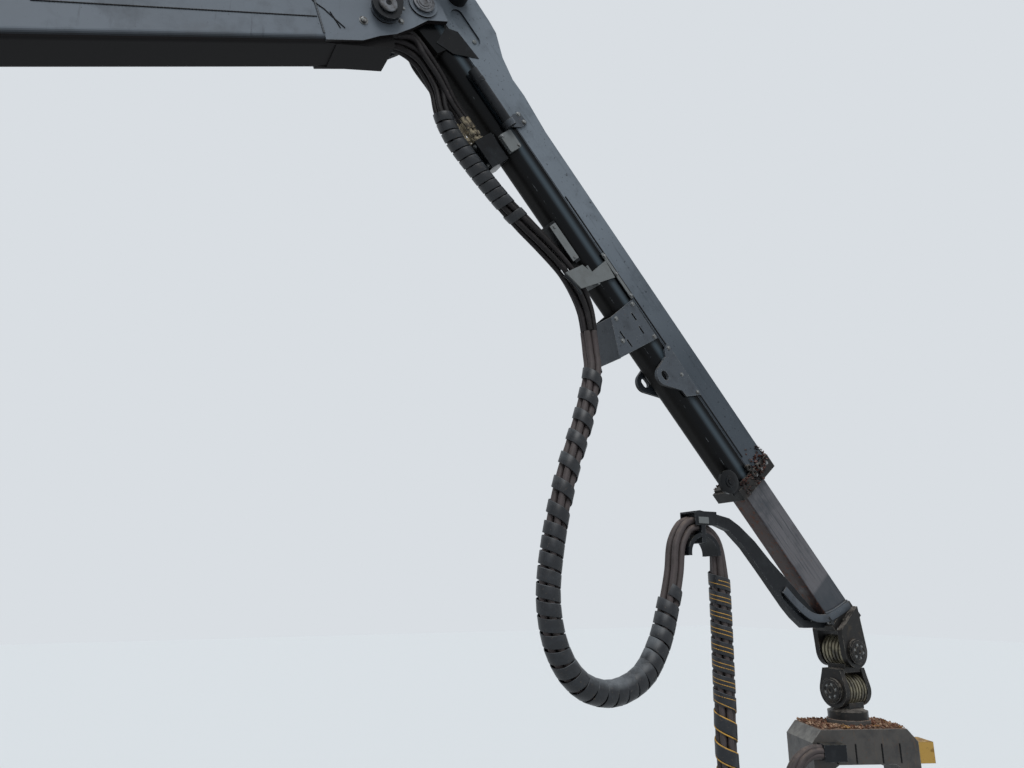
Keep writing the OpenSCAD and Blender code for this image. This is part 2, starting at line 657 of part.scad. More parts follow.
module link_body() color([0.11, 0.11, 0.12]) difference() {
    union() {
        block([tip_x - 58, -64, roll_z + 106], [tip_x + 58, 64, tip_z - 62]);
        for (s = [-1, 1]) mirror([s > 0 ? 0 : 1, 0, 0])
            translate([s * tip_x + pack_len / 2 + 2, 0, 0]) rotate([0, 90, 0]) rotate([0, 0, 90])
                linear_extrude(ear_t) hull() {
                    translate([0, roll_z]) circle(pack_d / 2 + 4);
                    translate([-64, roll_z + 108]) square([128, 20]);
                }
        block([tip_x - pack_len / 2 - 2 - ear_t, -64, roll_z + 106],
            [tip_x + pack_len / 2 + 2 + ear_t, 64, roll_z + 128]);
    }
    translate([tip_x - 300, 0, roll_z]) rotate([0, 90, 0]) cylinder(d = 2 * bore_small, h = 600);
    across(tip_x, tip_z, pack_d + 2 * seat, -80, 80);
}

module roll_pin() color([0.5, 0.5, 0.5]) translate([tip_x, 0, roll_z]) rotate([0, 90, 0]) {
    half = pack_len / 2 + 2 + ear_t;
    translate([0, 0, -half]) cylinder(d = pin_small_d, h = 2 * half);
    for (s = [0, 1]) mirror([0, 0, s]) translate([0, 0, half + seat]) cylinder(d = pack_d - 40, h = 14);
}

module roll_discs() color([0.2, 0.2, 0.2]) translate([tip_x, 0, roll_z])
    rotate([0, 90, 0]) disc_pack(2 * bore_small);

module rotator_body() color([0.35, 0.36, 0.37]) translate([tip_x, 0, 0]) difference() {
    union() {
        translate([0, 0, flange_z + seat]) cylinder(d = rotator_d, h = rotator_top - flange_z - 16);
        translate([0, 0, rotator_top - 20]) cylinder(d1 = rotator_d, d2 = rotator_d - 60, h = 20);
        block([-64, -70, rotator_top - 2], [64, 70, roll_z - 66]);
    }
    translate([-80, 0, roll_z]) rotate([0, 90, 0]) cylinder(d = pack_d + 2 * seat, h = 160);
}

module rotator_flange() color([0.4, 0.41, 0.42]) translate([tip_x, 0, hanger_top])
    cylinder(d = rotator_d + 18, h = flange_z - hanger_top - 0.2);

module hanger_frame_place() translate([tip_x, 0, 0]) rotate([0, 0, -hanger_deg]) children();

module hanger_frame() color([0.2, 0.21, 0.22]) hanger_frame_place() difference() {
    union() {
        plate([[-hanger_len / 2, hanger_top - 70], [-hanger_len / 2 + 60, hanger_top - seat],
            [hanger_len / 2 - 60, hanger_top - seat], [hanger_len / 2, hanger_top - 70],
            [hanger_len / 2, hanger_pivot_z], [hanger_len / 2 - 90, hanger_pivot_z],
            [hanger_len / 2 - 90, hanger_top - hanger_h - 40],
            [hanger_len / 2 - 150, hanger_top - hanger_h],
            [-hanger_len / 2 + 150, hanger_top - hanger_h],
            [-hanger_len / 2 + 90, hanger_top - hanger_h - 40],
            [-hanger_len / 2 + 90, hanger_pivot_z], [-hanger_len / 2, hanger_pivot_z]],
            -hanger_w / 2, hanger_w / 2);
    }
    for (s = [-1, 1])
        both() block([s * hanger_len / 2 - 100, 80, hanger_pivot_z - 1],
            [s * hanger_len / 2 + 100, 400, hanger_top - hanger_h - 60]);
    translate([-hanger_len, 0, hanger_pivot_z + 90]) rotate([0, 90, 0])
        cylinder(d = hanger_bore_d, h = 2 * hanger_len);
}

module hanger_end_guard() color([0.85, 0.7, 0.1]) hanger_frame_place()
    block([hanger_len / 2 + seat, -hanger_w / 2 + 10, hanger_top - 190],
        [hanger_len / 2 + 96, -hanger_w / 2 + 170, hanger_top - 74]);

module hose_bulkhead() color([0.3, 0.31, 0.32]) hanger_frame_place()
    block([-hanger_len / 2 + 30, -hanger_w / 2 - 88, hanger_top - 156],
        [-hanger_len / 2 + 160, -hanger_w / 2 - seat, hanger_top - 66]);

// Hoses: routes chosen by hand, rounded between their points and swept as tubes
function bend(a, b, c, d, t) = 0.5 * ((2 * b) + (c - a) * t + (2 * a - 5 * b + 4 * c - d) * t * t
    + (3 * b - a - 3 * c + d) * t * t * t);
function rounded(p, k) = let (n = len(p)) concat(
    [for (i = [0 : n - 2], j = [0 : k - 1])
        bend(p[max(i - 1, 0)], p[i], p[i + 1], p[min(i + 2, n - 1)], j / k)],
    [p[n - 1]]);
function unit(v) = v / norm(v);
function heading(p, i) = unit(p[min(i + 1, len(p) - 1)] - p[max(i - 1, 0)]);
// The side vectors stay near Y, because every route runs in planes near the crane's own
function ring(p, i, d, n) = let (t = heading(p, i), s = unit(cross(t, [0, 1, 0])), u = cross(s, t))
    [for (k = [0 : n - 1]) p[i] + d / 2 * (s * cos(360 * k / n) + u * sin(360 * k / n))];
module tube(points, d, k = 3, n = 10) {
    p = rounded(points, k);
    m = len(p);
    verts = [for (i = [0 : m - 1]) each ring(p, i, d, n)];
    walls = [for (i = [0 : m - 2], j = [0 : n - 1])
        each [[i * n + j, i * n + (j + 1) % n, (i + 1) * n + j],
            [(i + 1) * n + j, i * n + (j + 1) % n, (i + 1) * n + (j + 1) % n]]];
    ends = [[for (j = [n - 1 : -1 : 0]) j], [for (j = [0 : n - 1]) (m - 1) * n + j]];
    polyhedron(verts, concat(walls, ends));
}

// Offsets of the hoses from the jib pin at rest
nose_run = [
    [-622.2, 0, -339.8], [-454.2, 0, -284.8], [-254.2, -2, -234.8], [-84.2, -8, -211.8],
    [30.8, -14, -254.8], [100.8, -18, -339.8], [150.8, -20, -439.8], [175.8, -22, -562.8],
    [245.8, -24, -699.8], [375.8, -26, -844.8], [545.8, -28, -1009.8], [685.8, -30, -1124.8],
    [820.8, -30, -1229.8], [945.8, -30, -1339.8], [1030.8, -30, -1449.8], [1085.8, -30, -1569.8],
    [1107.8, -30, -1695.8]
];
loop_run = [
    [1108.2, -30, -1698.3], [1120.8, -30, -1814.8], [1113.8, -46, -1948.8], [1035.8, -62, -2209.8],
    [905.8, -74, -2553.8], [823.8, -76, -2879.8], [792.8, -74, -3168.8], [845.8, -70, -3409.8],
    [975.8, -64, -3569.8], [1166.8, -56, -3624.8], [1365.8, -46, -3559.8], [1500.8, -34, -3399.8],
    [1585.8, -22, -3199.8], [1643.8, -12, -3029.8], [1677.8, -4, -2877.8], [1737.8, 0, -2785.8],
    [1787.8, 0, -2759.1], [1816.8, 0, -2755.8]
];
drop_run = [
    [1853.3, 0, -2774.4], [1881.8, 0, -2778.6], [1937.8, 0, -2812.8], [1975.8, 0, -2874.8],
    [1985.8, 0, -2979.8], [1983.8, 0, -3219.8], [1975.8, 0, -3469.8], [1967.8, 0, -3719.8],
    [1957.8, 0, -3969.8], [1970.8, 0, -4179.8], [2035.8, 0, -4329.8], [2185.8, 0, -4387.8],
    [2315.8, -2, -4347.8], [2390.8, -8, -4249.8], [2423.8, -16, -4139.8], [2463.8, -38, -4061.8],
    [2528.8, -62, -4019.8], [2587.7, -88.2, -4016.8]
];
// A longer or shorter jib carries the arch with it, and the hose loop follows its last points
jib_pin = [jib_x, 0, jib_z];
reach = (beam_end - 4355) * [cos(jib_deg), 0, -sin(jib_deg)];
nose_route = [for (p = nose_run) jib_pin + p];
loop_route = [for (i = [0 : len(loop_run) - 1])
    jib_pin + loop_run[i] + min(1, max(0, (i - 3) / 8)) * reach];
drop_route = [for (p = drop_run) jib_pin + p + reach];
module nose_hoses() color([0.04, 0.04, 0.04]) tube(nose_route, 84, 3);
module loop_hoses() color([0.04, 0.04, 0.04]) tube(loop_route, 104, 2);
module drop_hoses() color([0.04, 0.04, 0.04]) tube(drop_route, 70, 2);

base_flange();
slew_housing();
slew_cylinders();
pillar();
pillar_pins();
main_boom();
boom_pins();
lift_cylinder_tube();
lift_cylinder_rod();
jib_cylinder_tube();
jib_cylinder_rod();
rocker();
rocker_link();
jib_box();
root_guards();
feed_tube();
tube_clamp();
cover_plate();
valve_block();
valve_fittings();
cover_box();
hose_saddle_plate();
slotted_bracket();
lifting_eyes();
end_collar();
slide_pads();
inner_beam();
beam_shoe();
tip_fork();
hose_arm();
hose_arch();
pitch_pin();
link_body();
pitch_discs();
roll_pin();
rotator_body();
roll_discs();
rotator_flange();
hanger_frame();
hanger_end_guard();
hose_bulkhead();
nose_hoses();
loop_hoses();
drop_hoses();
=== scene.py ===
"""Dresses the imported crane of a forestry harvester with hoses, spiral wraps, bolts, pin caps, weld beads,
litter and finishes. A length is in metres, unless its name ends in mm or its description says millimetres.
X runs forward along the crane, Y to its left and Z up."""

import math
import random

import bmesh
import bpy
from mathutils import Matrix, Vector


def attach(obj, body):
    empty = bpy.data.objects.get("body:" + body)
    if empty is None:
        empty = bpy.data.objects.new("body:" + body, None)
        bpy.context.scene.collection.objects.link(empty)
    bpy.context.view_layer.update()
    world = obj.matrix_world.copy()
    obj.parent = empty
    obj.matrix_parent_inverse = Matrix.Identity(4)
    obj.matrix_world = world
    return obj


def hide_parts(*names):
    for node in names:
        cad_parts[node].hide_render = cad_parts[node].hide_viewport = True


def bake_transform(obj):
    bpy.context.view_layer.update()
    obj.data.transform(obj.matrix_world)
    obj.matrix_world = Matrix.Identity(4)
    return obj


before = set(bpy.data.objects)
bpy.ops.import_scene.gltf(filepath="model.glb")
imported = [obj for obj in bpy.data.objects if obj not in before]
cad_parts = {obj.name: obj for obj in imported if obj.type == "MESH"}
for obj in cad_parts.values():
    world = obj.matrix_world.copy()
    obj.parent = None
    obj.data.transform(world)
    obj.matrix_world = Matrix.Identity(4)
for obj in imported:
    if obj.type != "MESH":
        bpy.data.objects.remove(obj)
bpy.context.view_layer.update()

# The crane's own lines, as the CAD source has them
FOOT = Vector((0, 0, 1.804))
BOOM_TURN = math.radians(19.7)
JIB_TURN = math.radians(49.4)
BOOM_LONG_MM = 4200
ALONG_BOOM = Vector((math.cos(BOOM_TURN), 0, math.sin(BOOM_TURN)))
UP_BOOM = Vector((-math.sin(BOOM_TURN), 0, math.cos(BOOM_TURN)))
ALONG_JIB = Vector((math.cos(JIB_TURN), 0, -math.sin(JIB_TURN)))
UP_JIB = Vector((math.sin(JIB_TURN), 0, math.cos(JIB_TURN)))
ACROSS = Vector((0, 1, 0))
JIB_PIN = FOOT + ALONG_BOOM * BOOM_LONG_MM / 1000
TIP_OUT = 4.560
TIP_BELOW = 0.028
TIP = JIB_PIN + ALONG_JIB * TIP_OUT - UP_JIB * TIP_BELOW
ROLL_BELOW_TIP = 0.230
ROLL = TIP - Vector((0, 0, ROLL_BELOW_TIP))
HANGER_TURN = math.radians(-24)
ALONG_HANGER = Vector((math.cos(HANGER_TURN), math.sin(HANGER_TURN), 0))
ACROSS_HANGER = Vector((-math.sin(HANGER_TURN), math.cos(HANGER_TURN), 0))
HANGER_BELOW_ROLL = 0.196
HANGER_TOP = ROLL.z - HANGER_BELOW_ROLL
SIDES = (("right", -1), ("left", 1))


def on_boom(x, y, z):
    """A point given in millimetres along the boom, across it and square to it, from the foot pin."""
    return FOOT + ALONG_BOOM * (x / 1000) + ACROSS * (y / 1000) + UP_BOOM * (z / 1000)


def at_nose(x, y, z):
    """The same from the jib pin, in the boom's directions."""
    return on_boom(BOOM_LONG_MM + x, y, z)


def on_jib(x, y, z):
    """A point given in millimetres along the jib, across it and square to it, from the jib pin."""
    return JIB_PIN + ALONG_JIB * (x / 1000) + ACROSS * (y / 1000) + UP_JIB * (z / 1000)


def on_hanger(x, y, z):
    """A point given in millimetres along the hanger, across it and up from its flat top."""
    top = Vector((TIP.x, 0, HANGER_TOP + z / 1000))
    return top + ALONG_HANGER * (x / 1000) + ACROSS_HANGER * (y / 1000)


def put(name, data):
    """A new object of that name in the scene, holding the data given."""
    thing = bpy.data.objects.new(name, data)
    bpy.context.scene.collection.objects.link(thing)
    return thing


# Camera: at a person's eye, looking up past the knee of the crane as the photograph does
EYE = (2.722, -3.5, 0.10)
LENS_MM = 27.04
SENSOR_MM = 36
HEADING_X = 0.469
HEADING_Y = 0.883
# Cosine and sine of the 15 degrees by which the eye looks up
LEVEL = 0.9659
UPWARD = 0.2588

eye = bpy.data.cameras.new("eye")
eye.lens = LENS_MM
eye.sensor_width = SENSOR_MM
eye.clip_start = 0.05
eye.clip_end = 200
camera = put("camera", eye)
camera.location = EYE
gaze = Vector((HEADING_X * LEVEL, HEADING_Y * LEVEL, UPWARD))
camera.rotation_euler = gaze.to_track_quat("-Z", "Y").to_euler()
bpy.context.scene.camera = camera


def step(tree, kind, feeds=None, **settings):
    """Adds one node to a tree, sets what it holds, and feeds its inputs from values, sockets or other nodes.
    A node among the feeds stands for its first output."""
    made = tree.nodes.new(kind)
    for name, value in settings.items():
        setattr(made, name, value)
    for socket, value in (feeds or {}).items():
        if isinstance(value, bpy.types.Node):
            value = value.outputs[0]
        if isinstance(value, bpy.types.NodeSocket):
            tree.links.new(value, made.inputs[socket])
        else:
            made.inputs[socket].default_value = value
    return made


def colour(hexa):
    """A colour written as sRGB hex, turned to the linear values that the shader wants."""
    parts = [int(hexa[start : start + 2], 16) / 255 for start in (1, 3, 5)]
    return [part / 12.92 if part <= 0.04045 else ((part + 0.055) / 1.055) ** 2.4 for part in parts] + [1.0]


def mark(kind, size_mm, edge, tint, rough, **more):
    """One layer of a finish: what it follows, how large its pattern is, between which values of the noise it
    sets in, and its colour and roughness. more holds what only some layers need."""
    return {"kind": kind, "size_mm": size_mm, "edge": edge, "tint": tint, "rough": rough, **more}


def zone(kind, direction, start, tint, rough, **more):
    """One layer with a plain outline: all past a plane, or a band along it. The plane stands square to the
    direction, at the distance start from the crane's origin."""
    return {"kind": kind, "direction": direction, "start": start, "tint": tint, "rough": rough, **more}


def zone_mask(tree, place, layer):
    """Where a zone lies."""
    reach = step(tree, "ShaderNodeVectorMath", {0: place, 1: layer["direction"]}, operation="DOT_PRODUCT")
    along = reach.outputs["Value"]
    start = layer["start"]
    if layer["kind"] == "band":
        half = layer["half_mm"] / 1000
        off = step(tree, "ShaderNodeMath", {0: along, 1: start}, operation="SUBTRACT")
        off = step(tree, "ShaderNodeMath", {0: off}, operation="ABSOLUTE")
        limits = {0: off, 1: 0.0, 2: half, 3: 1.0, 4: 0.0}
        return step(tree, "ShaderNodeMapRange", limits, interpolation_type="SMOOTHSTEP")
    end = start + layer.get("fade", 0.004)
    mask = step(tree, "ShaderNodeMapRange", {0: along, 1: start, 2: end})
    if "within_m" in layer:
        # Only what lies nearer the middle plane than the outer plates do
        inside = layer["within_m"]
        across = step(tree, "ShaderNodeSeparateXYZ", {0: place}).outputs["Y"]
        across = step(tree, "ShaderNodeMath", {0: across}, operation="ABSOLUTE")
        inner = step(tree, "ShaderNodeMapRange", {0: across, 1: inside + 0.002, 2: inside})
        mask = step(tree, "ShaderNodeMath", {0: inner, 1: mask}, operation="MULTIPLY")
    return mask


def mark_mask(tree, texture, layer, shift):
    """Where a mark lies: a noise of its own size, held to edges, tops or undersides if its kind says so."""
    source = texture.outputs["Object"]
    # Turned first and stretched after, so that the streaks run along the piece
    if "turn" in layer:
        source = step(tree, "ShaderNodeMapping", {"Vector": source, "Rotation": layer["turn"]})
    if "stretch" in layer:
        source = step(tree, "ShaderNodeMapping", {"Vector": source, "Scale": layer["stretch"]})
    pattern = {
        "Vector": source, "W": shift, "Scale": 1000 / layer["size_mm"], "Detail": 6.0, "Roughness": 0.62
    }
    noise = step(tree, "ShaderNodeTexNoise", pattern, noise_dimensions="4D")
    low, high = layer["edge"]
    mask = step(tree, "ShaderNodeMapRange", {0: noise, 1: low, 2: high})
    if layer["kind"] == "worn edges":
        # A rounded edge's normal leaves the flat one's within a few millimetres of the corner. The wear
        # starts where the cosine between them falls below 0.955, and is full at 0.84
        soft = step(tree, "ShaderNodeBevel", {"Radius": layer["reach_mm"] / 1000}, samples=4)
        hard = step(tree, "ShaderNodeNewGeometry").outputs["Normal"]
        meet = step(tree, "ShaderNodeVectorMath", {0: soft, 1: hard}, operation="DOT_PRODUCT")
        held = step(tree, "ShaderNodeMapRange", {0: meet.outputs["Value"], 1: 0.955, 2: 0.84})
    elif layer["kind"] in ("lies on top", "shade and grime below"):
        upright = (0, 0, 1 if layer["kind"] == "lies on top" else -1)
        normal = texture.outputs["Normal"]
        lean = step(tree, "ShaderNodeVectorMath", {0: normal, 1: upright}, operation="DOT_PRODUCT")
        first, full = layer.get("first", 0.25), layer.get("full", 0.7)
        held = step(tree, "ShaderNodeMapRange", {0: lean.outputs["Value"], 1: first, 2: full})
    else:
        return mask
    return step(tree, "ShaderNodeMath", {0: held, 1: mask}, operation="MULTIPLY")


# The broad drift of tone is about 400 mm across and goes down to this share of the colour, and the lumps of
# a surface are about 36 mm across
DRIFTS_PER_M = 2.4
SHADE = 0.72
LUMPS_PER_M = 28.0
GRAIN_DEEP = 0.0012


def weathered(name, base, rough, metal=0.0, grain=(2.5, 0.12), gleam=0.5, layers=()):
    """A surface of one real finish with the marks of outdoor work laid over it, and on some finishes painted
    shade and a painted highlight, each from its own pattern.
    grain holds the size of its fine grain in millimetres and how strongly it shows."""
    material = bpy.data.materials.new(name)
    material.use_nodes = True
    tree = material.node_tree
    tree.nodes.clear()
    texture = step(tree, "ShaderNodeTexCoord")
    place = texture.outputs["Object"]
    seed = sum(ord(letter) for letter in name) % 17
    # No plate is one flat colour: its tone and its gloss drift
    drifts = {"Vector": place, "Scale": DRIFTS_PER_M, "Detail": 5.0, "Roughness": 0.6}
    drift = step(tree, "ShaderNodeTexNoise", drifts)
    shade = [part * SHADE for part in colour(base)[:3]] + [1.0]
    hue = step(tree, "ShaderNodeMix", {0: drift, 6: shade, 7: colour(base)}, data_type="RGBA").outputs[2]
    gloss = {0: drift, 1: 0.3, 2: 0.7, 3: rough - 0.05, 4: rough + 0.07}
    dull = step(tree, "ShaderNodeMapRange", gloss)
    shine = metal
    shine_varies = any("metal" in layer for layer in layers)
    for count, layer in enumerate(layers):
        if "direction" in layer:
            mask = zone_mask(tree, place, layer)
        else:
            mask = mark_mask(tree, texture, layer, seed + count * 3.7)
        if "amount" in layer:
            share = {0: mask, 1: layer["amount"]}
            mask = step(tree, "ShaderNodeMath", share, operation="MULTIPLY")
        tints = {0: mask, 6: hue, 7: colour(layer["tint"])}
        hue = step(tree, "ShaderNodeMix", tints, data_type="RGBA").outputs[2]
        dull = step(tree, "ShaderNodeMix", {0: mask, 2: dull, 3: layer["rough"]})
        if shine_varies:
            shine = step(tree, "ShaderNodeMix", {0: mask, 2: shine, 3: layer.get("metal", 0.0)})
    grains = {"Vector": place, "Scale": 1000 / grain[0], "Detail": 3.0, "Roughness": 0.6}
    fine = step(tree, "ShaderNodeTexNoise", grains)
    lumps = step(tree, "ShaderNodeTexNoise", {"Vector": place, "Scale": LUMPS_PER_M, "Detail": 4.0})
    height = step(tree, "ShaderNodeMath", {0: lumps, 1: 2.0, 2: fine}, operation="MULTIPLY_ADD")
    bump = step(tree, "ShaderNodeBump", {"Strength": grain[1], "Distance": GRAIN_DEEP, "Height": height})
    look = {
        "Base Color": hue, "Roughness": dull, "Metallic": shine, "Normal": bump,
        "Specular IOR Level": gleam,
    }
    shader = step(tree, "ShaderNodeBsdfPrincipled", look)
    step(tree, "ShaderNodeOutputMaterial", {"Surface": shader})
    return material


# Directions of streaks: rain and sap run down, and bark scrapes along the jib
DOWN_STREAKS = (1.0, 1.0, 0.12)
ALONG_STREAKS = (0.06, 1.0, 1.0)

# Sprayed two-pack enamel on rolled plate, slate grey: satin, dusty on top, chipped to steel at its edges
NOSE_LINE = -JIB_PIN.dot(UP_BOOM)
slate_enamel = weathered(
    "slate_enamel_on_plate", "#7a838d", 0.42, grain=(3.0, 0.10), gleam=0.2,
    layers=[
        mark("patches", 180, (0.5, 0.72), "#555b62", 0.55, amount=0.7),
        mark("patches", 420, (0.52, 0.66), "#5c5d5f", 0.6, amount=0.5),
        mark("streaks", 26, (0.6, 0.75), "#3f4247", 0.6, stretch=DOWN_STREAKS, amount=0.5),
        mark("spots", 9, (0.66, 0.70), "#2a2b2d", 0.7, amount=0.8),
        mark("spots", 5, (0.68, 0.71), "#a9adae", 0.6, amount=0.6),
        mark("worn edges", 22, (0.5, 0.56), "#8b8f92", 0.45, reach_mm=5),
        mark("lies on top", 70, (0.42, 0.7), "#857e72", 0.9, amount=0.6),
        # Undersides painted near black: painted shade
        mark("shade and grime below", 900, (0.0, 0.1), "#120e0f", 0.62, first=0.12),
        # Inside the nose, between its outer plates and low on it, painted near black: painted shade in the
        # recess
        zone(
            "past a line", tuple(-UP_BOOM), NOSE_LINE + 0.150, "#0d0b0c", 0.7, fade=0.03, within_m=0.110
        ),
    ],
)
# The jib has the same enamel above and below the lap; its keel below the lap is painted glossy near black as
# painted shade
LAP_LINE = -JIB_PIN.dot(UP_JIB) - 0.096
FAR_ALONG = JIB_PIN.dot(ALONG_JIB) + 1.45
jib_enamel = weathered(
    "slate_and_black_enamel_on_jib", "#828c96", 0.36, grain=(3.0, 0.10), gleam=0.14,
    layers=[
        mark("patches", 150, (0.5, 0.72), "#545b62", 0.5, amount=0.6),
        zone("past a line", tuple(ALONG_JIB), FAR_ALONG, "#363e46", 0.42, fade=1.1, amount=0.78),
        mark(
            "streaks", 24, (0.56, 0.74), "#2e343b", 0.5, stretch=ALONG_STREAKS, turn=(0, -JIB_TURN, 0),
            amount=0.45,
        ),
        mark("spots", 14, (0.62, 0.67), "#1d1f22", 0.7, amount=0.8),
        mark("spots", 6, (0.66, 0.69), "#a7adb2", 0.5, amount=0.6),
        mark("lies on top", 60, (0.45, 0.7), "#7d776b", 0.9, amount=0.5),
        # Keel below the lap painted near black: painted shade
        zone("past a line", tuple(-UP_JIB), LAP_LINE, "#07090c", 0.24),
        # Lighter band just under the lap: painted highlight on the keel's rounded shoulder
        zone("band", tuple(-UP_JIB), LAP_LINE + 0.052, "#4e5b64", 0.3, half_mm=36, amount=0.75),
        # Undersides painted near black: painted shade
        mark("shade and grime below", 120, (0.0, 0.2), "#0e0c0a", 0.6, first=0.3, amount=0.95),
        mark("worn edges", 60, (0.56, 0.62), "#8a8f94", 0.42, reach_mm=3, amount=0.6),
    ],
)
# Black structural enamel: deep, satin, greyed by dust and rubbed bright on corners
black_enamel = weathered(
    "black_enamel_on_steel", "#1a1d21", 0.42, grain=(3.0, 0.12), gleam=0.22,
    layers=[
        mark("patches", 120, (0.5, 0.72), "#3a3d40", 0.6, amount=0.6),
        mark("streaks", 22, (0.6, 0.74), "#121212", 0.5, stretch=DOWN_STREAKS, amount=0.7),
        mark("spots", 7, (0.66, 0.69), "#6b5a4a", 0.8, amount=0.6),
        mark("worn edges", 18, (0.5, 0.56), "#7b7f82", 0.4, reach_mm=4),
        mark("lies on top", 60, (0.42, 0.7), "#6c6558", 0.92, amount=0.6),
    ],
)
# The same enamel darkened by painted shade and wet with oil mist, on the valve block, tubes and small covers
oiled_and_shaded_enamel = weathered(
    "oiled_black_enamel", "#0b0d10", 0.3, grain=(2.0, 0.10), gleam=0.2,
    layers=[
        mark("patches", 90, (0.52, 0.7), "#22272c", 0.45, amount=0.6),
        mark("spots", 8, (0.65, 0.69), "#59514a", 0.8, amount=0.6),
        mark("worn edges", 26, (0.52, 0.58), "#6a6f73", 0.4, reach_mm=3),
        mark("lies on top", 50, (0.42, 0.68), "#5d574d", 0.9, amount=0.5),
    ],
)
# Grey primer-like enamel of the bracket and the eyes, scoured by branches, with bright nicks on its edges
scoured_enamel = weathered(
    "scoured_grey_enamel", "#525961", 0.42, grain=(2.5, 0.16), gleam=0.3,
    layers=[
        mark("patches", 90, (0.48, 0.66), "#383c42", 0.5, amount=0.7),
        mark("spots", 12, (0.62, 0.66), "#202225", 0.6, amount=0.8),
        mark("spots", 6, (0.66, 0.69), "#b3b4b3", 0.5, amount=0.7),
        mark("spots", 17, (0.68, 0.70), "#7a3f33", 0.8, amount=0.8),
        mark("worn edges", 16, (0.46, 0.54), "#9c9d9c", 0.45, reach_mm=4),
        # Undersides painted near black: painted shade
        mark("shade and grime below", 120, (0.0, 0.2), "#0f0f11", 0.6, first=0.2, amount=0.95),
        mark("lies on top", 40, (0.42, 0.62), "#75695a", 0.9, amount=0.5),
    ],
)
# Turned pin steel, greased and scuffed, with rust in the corners
pin_steel = weathered(
    "turned_pin_steel", "#74767a", 0.36, metal=1.0, grain=(1.2, 0.14),
    layers=[
        mark("patches", 35, (0.46, 0.66), "#2a2521", 0.5, metal=0.0, amount=0.85),
        mark("spots", 9, (0.62, 0.68), "#5a3a26", 0.85, metal=0.0, amount=0.7),
    ],
)
# Hard chrome on a ground rod: mirror-like under a thin film of oil
rod_chrome = weathered(
    "hard_chrome_rod", "#c9ccce", 0.14, metal=1.0, grain=(0.8, 0.03),
    layers=[mark("patches", 60, (0.6, 0.8), "#8e8a82", 0.3, metal=0.8, amount=0.5)],
)
# High-strength beam steel that slides in the jib: paint worn off, long scratches, brown grease beneath.
# The last stretch, which never enters the jib, keeps its dark paint
BEAM_NEW_PAINT = JIB_PIN.dot(ALONG_JIB) + 4.12
beam_steel = weathered(
    "slid_beam_steel", "#6d6c70", 0.38, metal=0.45, grain=(2.0, 0.14),
    layers=[
        mark(
            "streaks", 9, (0.5, 0.68), "#2c3036", 0.45, stretch=(0.03, 1.0, 1.0), turn=(0, -JIB_TURN, 0),
            metal=0.2, amount=0.85,
        ),
        mark(
            "streaks", 5, (0.62, 0.7), "#a6abb0", 0.3, stretch=(0.02, 1.0, 1.0), turn=(0, -JIB_TURN, 0),
            metal=0.8, amount=0.7,
        ),
        mark("patches", 210, (0.5, 0.64), "#30353c", 0.5, metal=0.1, amount=0.75),
        mark("spots", 12, (0.62, 0.68), "#5a3c29", 0.8, metal=0.0, amount=0.6),
        zone(
            "past a line", tuple(ALONG_JIB), BEAM_NEW_PAINT, "#2b323a", 0.5, fade=0.02, metal=0.1,
            amount=0.75,
        ),
        mark("shade and grime below", 80, (0.25, 0.5), "#3d241b", 0.5, first=0.3, metal=0.0, amount=0.95),
        mark("shade and grime below", 26, (0.54, 0.62), "#7a4c38", 0.8, first=0.3, metal=0.0, amount=0.8),
    ],
)
# Sand-cast link and rotator parts, black paint soaked with oil and dust
cast_black = weathered(
    "oily_cast_iron", "#1b1918", 0.44, grain=(3.5, 0.45), gleam=0.28,
    layers=[
        mark("patches", 70, (0.45, 0.62), "#101010", 0.25, amount=0.9),
        mark("patches", 40, (0.55, 0.68), "#463f37", 0.8, amount=0.6),
        mark("worn edges", 20, (0.46, 0.55), "#8a857c", 0.5, reach_mm=5),
        mark("lies on top", 40, (0.36, 0.58), "#77716b", 0.8, amount=0.75),
    ],
)
# Brake discs: bare steel plates with fine edges and oily gaps
disc_steel = weathered(
    "brake_disc_steel", "#8a8470", 0.42, metal=0.6, grain=(1.5, 0.2),
    layers=[
        mark("patches", 45, (0.44, 0.62), "#1c1a17", 0.4, metal=0.0, amount=0.9),
        mark("spots", 10, (0.6, 0.68), "#6b5236", 0.8, metal=0.0, amount=0.7),
    ],
)
# Folded sheet in pale grey enamel, bolted on as guards and hose saddles
pale_sheet = weathered(
    "pale_grey_enamel_sheet", "#767b7c", 0.42, grain=(2.5, 0.10),
    layers=[
        mark("patches", 60, (0.5, 0.7), "#5d605f", 0.6, amount=0.7),
        mark("streaks", 12, (0.6, 0.72), "#4c4a45", 0.6, stretch=DOWN_STREAKS, amount=0.6),
        mark("spots", 7, (0.64, 0.69), "#5e4632", 0.85, amount=0.8),
        mark("worn edges", 14, (0.46, 0.55), "#3a332c", 0.6, reach_mm=4),
    ],
)
# Grey enamel of the head's hanger, chipped, with wet sawdust and leaf mould on its top
hanger_enamel = weathered(
    "chipped_grey_enamel", "#4b4845", 0.45, grain=(3.0, 0.2),
    layers=[
        mark("patches", 110, (0.48, 0.66), "#2a2a2b", 0.55, amount=0.8),
        mark("streaks", 20, (0.58, 0.7), "#5b4a3a", 0.75, stretch=DOWN_STREAKS, amount=0.7),
        mark("spots", 11, (0.62, 0.68), "#61402c", 0.85, amount=0.8),
        mark("worn edges", 24, (0.42, 0.52), "#8a8884", 0.5, reach_mm=6),
        mark("lies on top", 60, (0.35, 0.6), "#85847f", 0.7, first=0.3, full=0.6, amount=0.7),
        mark("lies on top", 26, (0.3, 0.5), "#7d6353", 0.95, first=0.8, full=0.95),
    ],
)
